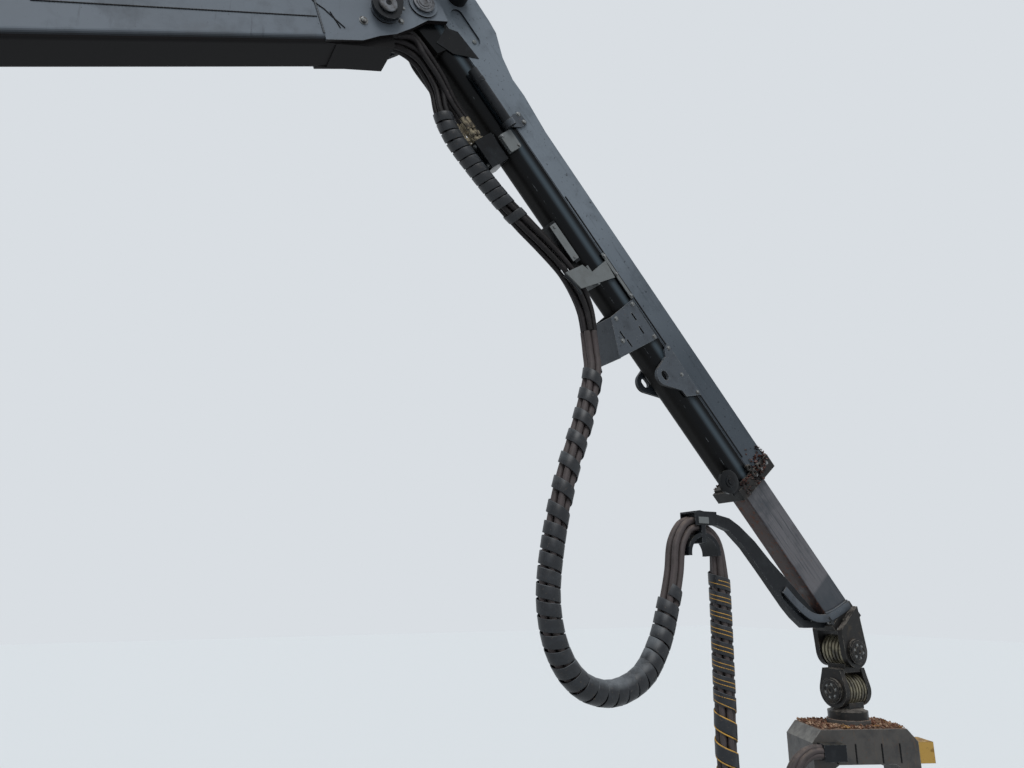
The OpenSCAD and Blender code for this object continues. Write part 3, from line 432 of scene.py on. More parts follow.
# Signal yellow enamel on a welded guard, scraped to dark primer and rust
guard_yellow = weathered(
    "scraped_yellow_enamel", "#c19a4a", 0.42, grain=(2.5, 0.14),
    layers=[
        mark("patches", 45, (0.56, 0.66), "#7b5a22", 0.7, amount=0.8),
        mark("spots", 12, (0.6, 0.66), "#332a22", 0.7, amount=0.9),
        mark("worn edges", 16, (0.42, 0.54), "#4b3a2a", 0.6, reach_mm=6),
        mark("lies on top", 24, (0.36, 0.56), "#75593c", 0.95, amount=0.85),
    ],
)
# Yellow-passivated zinc on hose fittings: brassy, dulled by oil
zinc_yellow = weathered(
    "yellow_passivated_zinc", "#9b9079", 0.36, metal=0.75, grain=(1.0, 0.10),
    layers=[
        mark("patches", 24, (0.44, 0.58), "#2c2620", 0.6, metal=0.1, amount=0.85),
        mark("spots", 9, (0.58, 0.64), "#6a4f38", 0.7, metal=0.0, amount=0.8),
    ],
)
# Bright zinc on bolts, greyed and rust-stained
zinc_grey = weathered(
    "zinc_plated_bolts", "#8a8c8c", 0.40, metal=0.85, grain=(1.0, 0.10),
    layers=[mark("patches", 18, (0.48, 0.62), "#3b3530", 0.7, metal=0.1, amount=0.8)],
)
# Hose cover of nitrile rubber: matt, grey-brown with dried sap and dust
hose_rubber = weathered(
    "nitrile_hose_cover", "#1a1718", 0.52, grain=(1.4, 0.35), gleam=0.25,
    layers=[
        mark("patches", 70, (0.48, 0.68), "#3c383a", 0.75, amount=0.8),
        mark("spots", 9, (0.62, 0.68), "#6d6259", 0.85, amount=0.6),
        mark("lies on top", 40, (0.4, 0.62), "#5d554f", 0.9, amount=0.5),
    ],
)
# Brown, dusted hoses that show between the turns of the wrap
dusty_rubber = weathered(
    "dusty_nitrile_hose_cover", "#483f3f", 0.6, grain=(1.4, 0.35),
    layers=[
        mark("patches", 50, (0.45, 0.64), "#332d2a", 0.6, amount=0.8),
        mark("lies on top", 30, (0.4, 0.6), "#74675f", 0.9, amount=0.6),
    ],
)
# Spiral guard of black polyethylene: hard, waxy, scuffed grey where branches rub
wrap_black = weathered(
    "polyethylene_spiral_guard", "#181b20", 0.38, grain=(2.0, 0.12), gleam=0.45,
    layers=[
        mark("patches", 60, (0.48, 0.7), "#2f3338", 0.5, amount=0.75),
        mark("spots", 12, (0.6, 0.68), "#5a5149", 0.8, amount=0.6),
        mark("worn edges", 20, (0.42, 0.56), "#54565a", 0.5, reach_mm=3),
        mark("lies on top", 90, (0.35, 0.62), "#6c7176", 0.7, amount=0.75),
    ],
)
# Yellow edge strip of the lower guard, moulded polyethylene gone dull
wrap_yellow = weathered(
    "yellow_polyethylene_strip", "#d6a445", 0.45, grain=(2.0, 0.10),
    layers=[mark("patches", 40, (0.5, 0.66), "#5d4a2a", 0.7, amount=0.8)],
)
# Cast nylon slide pads, cream gone brown with grease
pad_nylon = weathered(
    "cast_nylon_pad", "#b3a88f", 0.45, grain=(1.5, 0.10),
    layers=[mark("patches", 40, (0.42, 0.62), "#5c4a36", 0.5, amount=0.85)],
)
# Weld bead under enamel: the plate's own paint, slightly prouder and darker in its ripples
weld_enamel = weathered(
    "painted_weld_bead", "#4a5056", 0.40, grain=(2.0, 0.2),
    layers=[mark("patches", 30, (0.5, 0.66), "#2b2d30", 0.5, amount=0.7)],
)
# Leaf mould pressed into the grease of the collar: dark, with reddish and grey scraps
leaf_mould = weathered(
    "greasy_leaf_mould", "#6e463d", 0.6, grain=(1.5, 0.3), gleam=0.3,
    layers=[
        mark("patches", 30, (0.50, 0.56), "#8f7a74", 0.75, amount=0.9),
        mark("patches", 44, (0.49, 0.55), "#1b1516", 0.5, amount=0.95),
    ],
)
# Fallen leaves and bark, wet and brown
leaf_brown = weathered(
    "wet_fallen_leaf", "#855a45", 0.6, grain=(1.5, 0.3),
    layers=[
        mark("patches", 34, (0.48, 0.54), "#b59b82", 0.75, amount=0.9),
        mark("patches", 26, (0.55, 0.60), "#46302a", 0.6, amount=0.9),
        mark("patches", 60, (0.60, 0.64), "#b58a35", 0.7, amount=0.8),
    ],
)


# Shapes that repeat or follow a path: Geometry Nodes, each turned to a plain mesh as soon as it is made


def new_tree(name, inputs):
    """A node tree for a modifier, with its named inputs, and the sockets that give them."""
    tree = bpy.data.node_groups.new(name, "GeometryNodeTree")
    tree.interface.new_socket("Geometry", in_out="INPUT", socket_type="NodeSocketGeometry")
    for label, kind in inputs:
        tree.interface.new_socket(label, in_out="INPUT", socket_type="NodeSocket" + kind)
    tree.interface.new_socket("Geometry", in_out="OUTPUT", socket_type="NodeSocketGeometry")
    return tree, step(tree, "NodeGroupInput").outputs


def close_tree(tree, given, shape):
    """Ends a tree: its instances are made real, and its finish is set from the input of that name."""
    real = step(tree, "GeometryNodeRealizeInstances", {0: shape})
    dressed = step(tree, "GeometryNodeSetMaterial", {0: real, "Material": given["Finish"]})
    step(tree, "NodeGroupOutput", {0: dressed})
    return tree


def plain_mesh(name, tree, points, edges, values, marks=None):
    """Runs a tree on a line or cloud of points and keeps what comes out as an object with a plain mesh."""
    base = bpy.data.meshes.new(name)
    base.from_pydata([tuple(point) for point in points], edges, [])
    for label, numbers in (marks or {}).items():
        if isinstance(numbers[0], (int, float)):
            base.attributes.new(label, "FLOAT", "POINT").data.foreach_set("value", numbers)
        else:
            flat = [part for row in numbers for part in row]
            base.attributes.new(label, "FLOAT_VECTOR", "POINT").data.foreach_set("vector", flat)
    thing = put(name, base)
    shaper = thing.modifiers.new("shape", "NODES")
    shaper.node_group = tree
    for socket in tree.interface.items_tree:
        if socket.in_out == "INPUT" and socket.name in values:
            shaper[socket.identifier] = values[socket.name]
    bpy.context.view_layer.update()
    found = bpy.data.meshes.new_from_object(thing.evaluated_get(bpy.context.evaluated_depsgraph_get()))
    thing.modifiers.clear()
    thing.data = found
    found.name = name
    return thing


# How far apart the points of a pipe, of a hose in a bundle, of a guard and of a weld bead lie
PIPE_PACE = 0.008
HOSE_PACE = 0.012
GUARD_PACE = 0.003
BEAD_PACE = 0.006

# A strip's edges are rounded by this share of its thickness
STRIP_ROUND = 0.42


def strand_shape():
    """One hose or one strip that winds round a route, at its own distance and angle."""
    tree, given = new_tree(
        "strand_round_a_route",
        [
            ("Distance", "Float"), ("Width", "Float"), ("Thickness", "Float"), ("Round", "Bool"),
            ("Step", "Float"), ("Finish", "Material"),
        ],
    )
    route_curve = step(tree, "GeometryNodeMeshToCurve", {0: given["Geometry"]})
    even_curve = step(
        tree, "GeometryNodeResampleCurve", {0: route_curve, "Length": given["Step"]}, mode="LENGTH"
    )
    heading = step(tree, "GeometryNodeInputTangent")
    turn = step(tree, "GeometryNodeInputNamedAttribute", {"Name": "turn"}, data_type="FLOAT")
    spread = step(tree, "GeometryNodeInputNamedAttribute", {"Name": "spread"}, data_type="FLOAT")
    out_way = step(tree, "ShaderNodeVectorMath", {0: heading, 1: (0, 1, 0)}, operation="CROSS_PRODUCT")
    out_unit = step(tree, "ShaderNodeVectorMath", {0: out_way}, operation="NORMALIZE")
    side_way = step(tree, "ShaderNodeVectorMath", {0: out_unit, 1: heading}, operation="CROSS_PRODUCT")
    cosine = step(tree, "ShaderNodeMath", {0: turn}, operation="COSINE")
    sine = step(tree, "ShaderNodeMath", {0: turn}, operation="SINE")
    part_out = step(tree, "ShaderNodeVectorMath", {0: out_unit, "Scale": cosine}, operation="SCALE")
    part_side = step(tree, "ShaderNodeVectorMath", {0: side_way, "Scale": sine}, operation="SCALE")
    radial = step(tree, "ShaderNodeVectorMath", {0: part_out, 1: part_side}, operation="ADD")
    kept_radial = step(
        tree, "GeometryNodeStoreNamedAttribute", {0: even_curve, "Name": "radial", "Value": radial},
        data_type="FLOAT_VECTOR", domain="POINT",
    )
    radial_again = step(
        tree, "GeometryNodeInputNamedAttribute", {"Name": "radial"}, data_type="FLOAT_VECTOR"
    )
    reach = step(tree, "ShaderNodeMath", {0: given["Distance"], 1: spread}, operation="MULTIPLY")
    shift = step(tree, "ShaderNodeVectorMath", {0: radial_again, "Scale": reach}, operation="SCALE")
    wound = step(tree, "GeometryNodeSetPosition", {0: kept_radial, "Offset": shift})
    faced = step(tree, "GeometryNodeSetCurveNormal", {0: wound, "Normal": radial_again}, mode="FREE")
    ribbon = step(
        tree, "GeometryNodeCurvePrimitiveQuadrilateral",
        {"Width": given["Thickness"], "Height": given["Width"]},
    )
    ribbon_edge = step(
        tree, "ShaderNodeMath", {0: given["Thickness"], 1: STRIP_ROUND}, operation="MULTIPLY"
    )
    ribbon_round = step(
        tree, "GeometryNodeFilletCurve", {0: ribbon, "Count": 2, "Radius": ribbon_edge}, mode="POLY"
    )
    half_width = step(tree, "ShaderNodeMath", {0: given["Width"], 1: 0.5}, operation="MULTIPLY")
    pipe = step(
        tree, "GeometryNodeCurvePrimitiveCircle", {"Resolution": 12, "Radius": half_width}, mode="RADIUS"
    )
    section = step(
        tree, "GeometryNodeSwitch", {0: given["Round"], 1: ribbon_round, 2: pipe}, input_type="GEOMETRY"
    )
    swept = step(tree, "GeometryNodeCurveToMesh", {0: faced, 1: section, "Fill Caps": True})
    smooth = step(tree, "GeometryNodeSetShadeSmooth", {0: swept})
    return close_tree(tree, given, smooth)


def bolt_shape():
    """A washer and a hexagon head with a domed chamfer on each point, looking along that point's direction.
    Sizes are shares of the head's width across its corners."""
    tree, given = new_tree(
        "hexagon_bolts", [("Head", "Float"), ("Washer", "Float"), ("Finish", "Material")]
    )
    head = step(tree, "GeometryNodeMeshCylinder", {"Vertices": 6, "Radius": 0.5, "Depth": 0.30})
    head_up = step(tree, "GeometryNodeTransform", {0: head, "Translation": (0, 0, 0.22)})
    crown = step(
        tree, "GeometryNodeMeshCone",
        {"Vertices": 12, "Radius Top": 0.36, "Radius Bottom": 0.46, "Depth": 0.05},
    )
    crown_up = step(tree, "GeometryNodeTransform", {0: crown, "Translation": (0, 0, 0.37)})
    washer = step(tree, "GeometryNodeMeshCylinder", {"Vertices": 20, "Radius": 1.0, "Depth": 0.08})
    washer_wide = step(tree, "ShaderNodeCombineXYZ", {0: given["Washer"], 1: given["Washer"], 2: 1.0})
    washer_up = step(
        tree, "GeometryNodeTransform", {0: washer, "Translation": (0, 0, 0.04), "Scale": washer_wide}
    )
    whole_bolt = step(tree, "GeometryNodeJoinGeometry")
    for part in (washer_up, crown_up, head_up):
        tree.links.new(part.outputs[0], whole_bolt.inputs[0])
    aim = step(tree, "GeometryNodeInputNamedAttribute", {"Name": "facing"}, data_type="FLOAT_VECTOR")
    size = step(tree, "GeometryNodeInputNamedAttribute", {"Name": "size"}, data_type="FLOAT")
    size_by_head = step(tree, "ShaderNodeMath", {0: size, 1: given["Head"]}, operation="MULTIPLY")
    aligned = step(tree, "FunctionNodeAlignRotationToVector", {"Vector": aim}, axis="Z")
    points = step(tree, "GeometryNodeMeshToPoints", {0: given["Geometry"]})
    placed = step(
        tree, "GeometryNodeInstanceOnPoints",
        {0: points, "Instance": whole_bolt, "Rotation": aligned, "Scale": size_by_head},
    )
    return close_tree(tree, given, placed)


def leaf_shape():
    """A small curled leaf or bark flake on each point, turned and sized at random from a seed."""
    tree, given = new_tree("curled_leaves", [("Length", "Float"), ("Seed", "Int"), ("Finish", "Material")])
    # A blade is drawn 1 long, narrows to both ends and curls up to all its edges
    blade = step(
        tree, "GeometryNodeMeshGrid", {"Size X": 1.0, "Size Y": 0.62, "Vertices X": 5, "Vertices Y": 4}
    )
    spot = step(tree, "GeometryNodeInputPosition")
    spot_parts = step(tree, "ShaderNodeSeparateXYZ", {0: spot})
    leaf_x = spot_parts.outputs["X"]
    leaf_y = spot_parts.outputs["Y"]
    along_sq = step(tree, "ShaderNodeMath", {0: leaf_x, 1: leaf_x}, operation="MULTIPLY")
    across_sq = step(tree, "ShaderNodeMath", {0: leaf_y, 1: leaf_y}, operation="MULTIPLY")
    narrow = step(tree, "ShaderNodeMath", {0: along_sq, 1: -3.2, 2: 1.0}, operation="MULTIPLY_ADD")
    thin_y = step(tree, "ShaderNodeMath", {0: leaf_y, 1: narrow}, operation="MULTIPLY")
    curl = step(tree, "ShaderNodeMath", {0: across_sq, 1: 1.6, 2: along_sq}, operation="MULTIPLY_ADD")
    bent = step(tree, "ShaderNodeCombineXYZ", {0: leaf_x, 1: thin_y, 2: curl})
    leaf = step(tree, "GeometryNodeSetPosition", {0: blade, "Position": bent})
    lots = step(tree, "GeometryNodeMeshToPoints", {0: given["Geometry"]})
    way = step(
        tree, "FunctionNodeRandomValue",
        {0: (-0.6, -0.6, 0.0), 1: (0.6, 0.6, 6.28), "Seed": given["Seed"]}, data_type="FLOAT_VECTOR",
    )
    way_turn = step(tree, "FunctionNodeEulerToRotation", {0: way})
    long_as = step(tree, "FunctionNodeRandomValue", {2: 0.5, 3: 1.25, "Seed": 7}, data_type="FLOAT")
    leaf_size = step(
        tree, "ShaderNodeMath", {0: long_as.outputs[1], 1: given["Length"]}, operation="MULTIPLY"
    )
    strewn = step(
        tree, "GeometryNodeInstanceOnPoints",
        {0: lots, "Instance": leaf, "Rotation": way_turn, "Scale": leaf_size},
    )
    return close_tree(tree, given, strewn)


# A weld bead swells by this share at each ripple, and its ripples repeat every 10 mm, 2 pi times their value
RIPPLE_SWELL = 0.14
RIPPLE = 0.0016


def bead_shape():
    """A low round seam along a path, with the ripples that each drop of weld leaves."""
    tree, given = new_tree("weld_bead", [("Width", "Float"), ("Ripple", "Float"), ("Finish", "Material")])
    seam = step(tree, "GeometryNodeMeshToCurve", {0: given["Geometry"]})
    seam_even = step(tree, "GeometryNodeResampleCurve", {0: seam, "Length": BEAD_PACE}, mode="LENGTH")
    along_seam = step(tree, "GeometryNodeSplineParameter")
    ripples = step(
        tree, "ShaderNodeMath", {0: along_seam.outputs["Length"], 1: given["Ripple"]}, operation="DIVIDE"
    )
    wave = step(tree, "ShaderNodeMath", {0: ripples}, operation="SINE")
    swell = step(tree, "ShaderNodeMath", {0: wave, 1: RIPPLE_SWELL, 2: 1.0}, operation="MULTIPLY_ADD")
    half_bead = step(tree, "ShaderNodeMath", {0: given["Width"], 1: 0.5}, operation="MULTIPLY")
    bead_circle = step(
        tree, "GeometryNodeCurvePrimitiveCircle", {"Resolution": 8, "Radius": half_bead}, mode="RADIUS"
    )
    bead = step(
        tree, "GeometryNodeCurveToMesh", {0: seam_even, 1: bead_circle, "Scale": swell, "Fill Caps": True}
    )
    bead_smooth = step(tree, "GeometryNodeSetShadeSmooth", {0: bead})
    return close_tree(tree, given, bead_smooth)


STRAND_SHAPE = strand_shape()
BOLT_SHAPE = bolt_shape()
LEAF_SHAPE = leaf_shape()
BEAD_SHAPE = bead_shape()


def smooth_line(points, cuts=10):
    """A smooth line through the points given, in metres, close enough together to sweep along."""
    full = []
    last = len(points) - 1
    for stretch in range(last):
        before, here, there, after = (
            Vector(points[max(0, min(last, stretch + shift))]) for shift in (-1, 0, 1, 2)
        )
        for cut in range(cuts):
            share = cut / cuts
            square = 2 * before - 5 * here + 4 * there - after
            cube = 3 * here - before - 3 * there + after
            full.append(
                0.5 * (2 * here + (there - before) * share + square * share * share + cube * share**3)
            )
    full.append(Vector(points[-1]))
    return full


def lengths_along(line):
    """Distance run at each point of a line."""
    run = [0.0]
    for here, there in zip(line, line[1:]):
        run.append(run[-1] + (there - here).length)
    return run


def chain(line):
    """Edges that join a line's points one after another."""
    return [(knot, knot + 1) for knot in range(len(line) - 1)]


def strand(name, line, turns, spreads, distance, width, thickness, is_round, finish, pace=PIPE_PACE):
    """One hose or strip round a line. turns and spreads hold its angle and its share of the distance at each
    point."""
    return plain_mesh(
        name, STRAND_SHAPE, line, chain(line),
        {
            "Distance": distance, "Width": width, "Thickness": thickness, "Round": is_round, "Step": pace,
            "Finish": finish,
        },
        {"turn": turns, "spread": spreads},
    )


def fix_to(thing, body):
    """Lets a piece move with a body."""
    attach(thing, body)


def single_pipe(name, line, width, finish, pace=PIPE_PACE):
    """One hose or pipe with the line itself as its middle."""
    still = [0.0] * len(line)
    return strand(name, line, still, still, 0.0, width, width, True, finish, pace)


def joined(name, things):
    """Joins plain objects into one mesh under the first one's name."""
    keep = things[0]
    if len(things) > 1:
        with bpy.context.temp_override(
            active_object=keep, object=keep, selected_objects=things, selected_editable_objects=things
        ):
            bpy.ops.object.join()
    keep.name = name
    keep.data.name = name
    return keep


def hose_bundle(name, route_mm, count, hose_d, distance, twist, spread_at, finish):
    """Several hoses laid side by side round one route, twisting slowly, as they leave the clamp."""
    line = smooth_line([[part / 1000 for part in point] for point in route_mm])
    run = lengths_along(line)
    strands = []
    for number in range(count):
        turns = [2 * math.pi * number / count + at / twist for at in run]
        spreads = [spread_at(at, run[-1]) for at in run]
        strands.append(
            strand(
                f"{name}_{number}", line, turns, spreads, distance, hose_d, hose_d, True, finish, HOSE_PACE
            )
        )
    return joined(name, strands), line, run


def wrap_round(
    name, line, start, end, distance, width, thickness, pitch_at, finish, edge=0.0, spread_at=None
):
    """A spiral guard wound on a line between two distances, its pitch given along the way.
    edge moves it along the line by so many metres, for the strips on the guard's two sides."""
    run = lengths_along(line)
    kept, turns, spreads, angle = [], [], [], 0.0
    for number, (point, at) in enumerate(zip(line, run)):
        if start <= at <= end:
            kept.append(point)
            turns.append(angle + 2 * math.pi * edge / pitch_at(at))
            spreads.append(spread_at(at) if spread_at else 1.0)
        if number + 1 < len(run) and start <= at:
            angle += 2 * math.pi * (run[number + 1] - at) / pitch_at(at)
    return strand(name, kept, turns, spreads, distance, width, thickness, False, finish, GUARD_PACE)


# Routes of the three bundles, in millimetres, the same points as in the CAD source
NOSE_ROUTE = [
    (3332, 0, 2880), (3500, 0, 2935), (3700, -2, 2985), (3870, -8, 3008), (3985, -14, 2965),
    (4055, -18, 2880), (4105, -20, 2780), (4130, -22, 2657), (4200, -24, 2520), (4330, -26, 2375),
    (4500, -28, 2210), (4640, -30, 2095), (4775, -30, 1990), (4900, -30, 1880), (4985, -30, 1770),
    (5040, -30, 1650), (5062, -30, 1524),
]
LOOP_ROUTE = [
    (5062.4, -30, 1521.5), (5075, -30, 1405), (5068, -46, 1271), (4990, -62, 1010), (4860, -74, 666),
    (4778, -76, 340), (4747, -74, 51), (4800, -70, -190), (4930, -64, -350), (5121, -56, -405),
    (5320, -46, -340), (5455, -34, -180), (5540, -22, 20), (5598, -12, 190), (5632, -4, 342),
    (5692, 0, 434), (5742, 0, 460.7), (5771, 0, 464),
]
DROP_ROUTE = [
    (5807.5, 0, 445.4), (5836, 0, 441.2), (5892, 0, 407), (5930, 0, 345), (5940, 0, 240), (5938, 0, 0),
    (5930, 0, -250), (5922, 0, -500), (5912, 0, -750), (5925, 0, -960), (5990, 0, -1110), (6140, 0, -1168),
    (6270, -2, -1128), (6345, -8, -1030), (6378, -16, -920), (6418, -38, -842), (6483, -62, -800),
    (6541.9, -88.2, -797),
]


def rise(at, start, length):
    """From 0 to 1 over a length that begins at start."""
    return max(0.0, min(1.0, (at - start) / length))


def near(at, middle, length):
    """1 at the middle, and down to 0 at this length from it on both sides."""
    return max(0.0, 1 - abs(at - middle) / length)


def fan_out(at, whole):
    """Hoses lie close under the rocker's shaft, stand apart where they leave the nose, lie tight in the
    wrap and part again before the saddle."""
    apart = 0.30 * rise(at, 0.50, 0.16) - 0.14 * rise(at, 0.80, 0.20)
    loose = 0.20 * rise(at, 1.60, 0.20) * rise(whole - at, 0.0, 0.25)
    return 0.84 + apart + loose


def lie_tight(at, whole):
    """The hoses of the loop lie close from end to end, and closest where they leave the saddle."""
    return 0.84 + 0.16 * rise(at, 0.0, 0.9)


def drop_spread(at, whole):
    """The hoses lie close over the arch, stand apart in the long drop and close up at the bulkhead."""
    return 0.62 + 0.38 * min(rise(at, 0.18, 0.22), rise(whole - at, 0.12, 0.40))


nose_bundle, nose_line, nose_run = hose_bundle(
    "nose_bundle", NOSE_ROUTE, count=6, hose_d=0.031, distance=0.0330, twist=1.1, spread_at=fan_out,
    finish=hose_rubber,
)
loop_bundle, loop_line, loop_run = hose_bundle(
    "loop_bundle", LOOP_ROUTE, count=5, hose_d=0.039, distance=0.0365, twist=1.9, spread_at=lie_tight,
    finish=dusty_rubber,
)
drop_bundle, drop_line, drop_run = hose_bundle(
    "drop_bundle", DROP_ROUTE, count=6, hose_d=0.036, distance=0.0385, twist=2.6, spread_at=drop_spread,
    finish=dusty_rubber,
)


def nearest_run(line, run, x, z):
    """Distance along a line at which it passes closest to a point of the crane's plane in millimetres."""
    spot = Vector((x / 1000, 0, z / 1000))
    return min(zip(line, run), key=lambda pair: (Vector((pair[0].x, 0, pair[0].z)) - spot).length)[1]


# The photograph shows where each guard starts and ends
nose_wrap_from = nearest_run(nose_line, nose_run, 4131, 2654)
nose_wrap_to = nearest_run(nose_line, nose_run, 4530, 2180)
NOSE_PITCH = 0.056
nose_wrap = wrap_round(
    "nose_wrap", nose_line, nose_wrap_from, nose_wrap_to, distance=0.0510, width=0.050, thickness=0.0060,
    pitch_at=lambda at: NOSE_PITCH, finish=wrap_black,
)
# One loose turn more, a little past the guard's end
nose_band = wrap_round(
    "nose_wrap_band", nose_line, nose_wrap_to + 0.035, nose_wrap_to + 0.095, distance=0.0540, width=0.050,
    thickness=0.0065, pitch_at=lambda at: NOSE_PITCH, finish=wrap_black,
)
loop_closed = nearest_run(loop_line, loop_run, 4777, 306)
loop_low = nearest_run(loop_line, loop_run, 5121, -405)
loop_end = nearest_run(loop_line, loop_run, 5560, 100)


def loop_pitch(at):
    """Turns stand apart where the loop hangs from the saddle and close up towards its bottom."""
    if at < loop_closed - 0.15:
        return 0.128 + 0.014 * near(at, loop_closed - 0.5, 0.3)
    if at > loop_end - 0.11:
        return 0.098
    return 0.0655 + 0.0105 * rise(abs(at - loop_low), 0.0, 0.45)


def loop_swell(at):
    """The guard is tightest under the saddle and swells where the hoses bend."""
    return 0.88 + 0.12 * rise(at, 0.0, 0.9) + 0.07 * near(at, loop_low, 0.5)


loop_wrap = wrap_round(
    "loop_wrap", loop_line, 0.20, loop_end, distance=0.0598, width=0.064, thickness=0.006,
    pitch_at=loop_pitch, finish=wrap_black, spread_at=loop_swell,
)
drop_from = nearest_run(drop_line, drop_run, 5940, 195)
drop_to = nearest_run(drop_line, drop_run, 6345, -1030)
drop_loose = nearest_run(drop_line, drop_run, 5922, -500)


def drop_pitch(at):
    """The guard's turns on the drop lie close above and part as they near the head."""
    return 0.090 + 0.060 * rise(at, drop_loose - 0.05, 0.12)


drop_wrap = wrap_round(
    "drop_wrap", drop_line, drop_from, drop_to, distance=0.0590, width=0.068, thickness=0.005,
    pitch_at=drop_pitch, finish=wrap_black,
)
# Each strip lies on one edge of the guard, at half its width from the middle
EDGE_AT = 0.034
drop_edges = [
    wrap_round(
        f"drop_wrap_edge_{number}", drop_line, drop_from + 0.04, drop_to, distance=0.0594, width=0.0070,
        thickness=0.0056, pitch_at=drop_pitch, finish=wrap_yellow, edge=edge,
    )
    for number, edge in enumerate((-EDGE_AT, EDGE_AT))
]
drop_edge = joined("drop_wrap_edge", drop_edges)

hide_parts("nose_hoses")
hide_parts("loop_hoses")
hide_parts("drop_hoses")
# For each bundle, two points that bound the stretch where it bends, the nose's from its lip past the
# rocker's shaft on
NOSE_BEND = (at_nose(-150, 0, -170), on_jib(760, 0, -200))
LOOP_BEND = (Vector((5.062, 0, 1.521)), Vector((6.047, 0, 1.078)))
DROP_BEND = (Vector((5.93, 0, 0.345)), Vector((6.50, 0, -0.80)))
# Each bundle with its line, its whole diameter, the bodies at its ends, where it bends, and its guards
BUNDLES = [
    (nose_bundle, nose_line, 0.084, "main_boom", "jib", NOSE_BEND, [nose_wrap, nose_band]),
    (loop_bundle, loop_line, 0.104, "jib", "telescope", LOOP_BEND, [loop_wrap]),
    (drop_bundle, drop_line, 0.096, "telescope", "link", DROP_BEND, [drop_wrap, drop_edge]),
]
for bundle, line, diameter, near_body, far_body, bend, guards in BUNDLES:
    for thing in (bundle, *guards):
        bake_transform(thing)

# Single hoses from the nose to the valve block, each one a cord of its own between two fittings
VALVE_HOSE_D = 0.030
VALVE_HOSES = [
    [
        at_nose(-700, -55, -95), at_nose(-520, -56, -105), at_nose(-330, -60, -138),
        at_nose(-200, -68, -152), at_nose(-90, -74, -172), on_jib(240, -78, -152), on_jib(360, -76, -154),
        on_jib(450, -70, -162), on_jib(540, -63, -170), on_jib(625.5, -62, -170),
    ],
    [
        at_nose(-700, -80, -62), at_nose(-520, -80, -76), at_nose(-330, -80, -124),
        at_nose(-190, -80, -132), on_jib(100, -78, -136), on_jib(240, -70, -116), on_jib(380, -46, -104),
        on_jib(470, -28, -108), on_jib(550, -22, -112), on_jib(625.5, -22, -112),
    ],
    [
        at_nose(-700, 52, -95), at_nose(-520, 54, -105), at_nose(-330, 60, -138), at_nose(-200, 62, -152),
        at_nose(-90, 52, -176), on_jib(240, 44, -160), on_jib(360, 36, -162), on_jib(450, 26, -168),
        on_jib(540, 19, -170), on_jib(625.5, 18, -170),
    ],
    [
        at_nose(-700, 80, -62), at_nose(-520, 80, -76), at_nose(-330, 80, -124), at_nose(-190, 80, -132),
        on_jib(100, 76, -136), on_jib(240, 70, -116), on_jib(380, 60, -106), on_jib(470, 52, -111),
        on_jib(550, 50, -112), on_jib(625.5, 50, -112),
    ],
]
for number, stops in enumerate(VALVE_HOSES):
    line = smooth_line(stops, 8)
    hose = single_pipe(f"valve_hose_{number}", line, VALVE_HOSE_D, hose_rubber, HOSE_PACE)
    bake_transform(hose)


SHARP_FROM = math.radians(35)


def turned(name, body, finish, centre, axis, profile, around=40):
    """A turned piece: pairs of radius and height in millimetres, spun about an axis through centre."""
    axis = Vector(axis).normalized()
    side = axis.orthogonal().normalized()
    other = axis.cross(side)
    corners, faces = [], []
    for radius, height in profile:
        for turn in range(around):
            angle = 2 * math.pi * turn / around
            spoke = side * math.cos(angle) + other * math.sin(angle)
            corners.append(Vector(centre) + axis * (height / 1000) + spoke * (max(radius, 0.05) / 1000))
    for ring in range(len(profile) - 1):
        for turn in range(around):
            here, there = ring * around + turn, ring * around + (turn + 1) % around
            faces.append((here, there, there + around, here + around))
    faces.append(tuple(reversed(range(around))))
    faces.append(tuple(range((len(profile) - 1) * around, len(profile) * around)))
    mesh = bpy.data.meshes.new(name)
    mesh.from_pydata([tuple(corner) for corner in corners], [], faces)
    for face in mesh.polygons:
        face.use_smooth = len(face.vertices) == 4
    mesh.set_sharp_from_angle(angle=SHARP_FROM)
    mesh.materials.append(finish)
    fix_to(put(name, mesh), body)


def bolts(name, body, rows, washer=0.72, finish=zinc_grey):
    """Bolts on one body. A row is a point, the way the head looks, and the head's width across its corners
    in millimetres."""
    thing = plain_mesh(
        name, BOLT_SHAPE, [point for point, _, _ in rows], [],
        {"Head": 1.0, "Washer": washer, "Finish": finish},
        {"facing": [tuple(facing) for _, facing, _ in rows], "size": [size / 1000 for _, _, size in rows]},
    )
    fix_to(thing, body)


LEFT = ACROSS
RIGHT = Vector((0, -1, 0))

# Where the rocker's hollow shaft runs through the nose, from the jib pin in the boom's directions
SHAFT_X_MM = -243
SHAFT_Z_MM = -48
# Retainer rings stacked on the nose pins, as turned caps with steps that catch the light
for label, sign in SIDES:
    way = Vector((0, sign, 0))
    turned(
        f"jib_pin_rings_{label}", "main_boom", pin_steel, at_nose(0, sign * 154, 0), way,
        [
            (62, -3), (62, 0.6), (56, 3), (51, 3), (51, 0.4), (46, 0.4), (45, 3), (38, 3), (38, 0.4),
            (31, 0.4), (30, 3), (18, 3), (17, 0.3), (0, 0.3),
        ],
    )
    turned(
        f"rocker_shaft_rings_{label}", "rocker", pin_steel, at_nose(SHAFT_X_MM, sign * 190, SHAFT_Z_MM),
        way, [(50, -2), (50, 4), (46, 8), (17, 8), (15, 2), (0, 2)],
    )
    # A thin dark hexagon at the end of the hollow shaft stands for its socket: painted shade
    turned(
        f"rocker_shaft_bore_shade_{label}", "rocker", oiled_and_shaded_enamel,
        at_nose(SHAFT_X_MM, sign * 192.4, SHAFT_Z_MM), way, [(14.5, -0.2), (14.5, 0.4), (0, 0.4)], 6,
    )

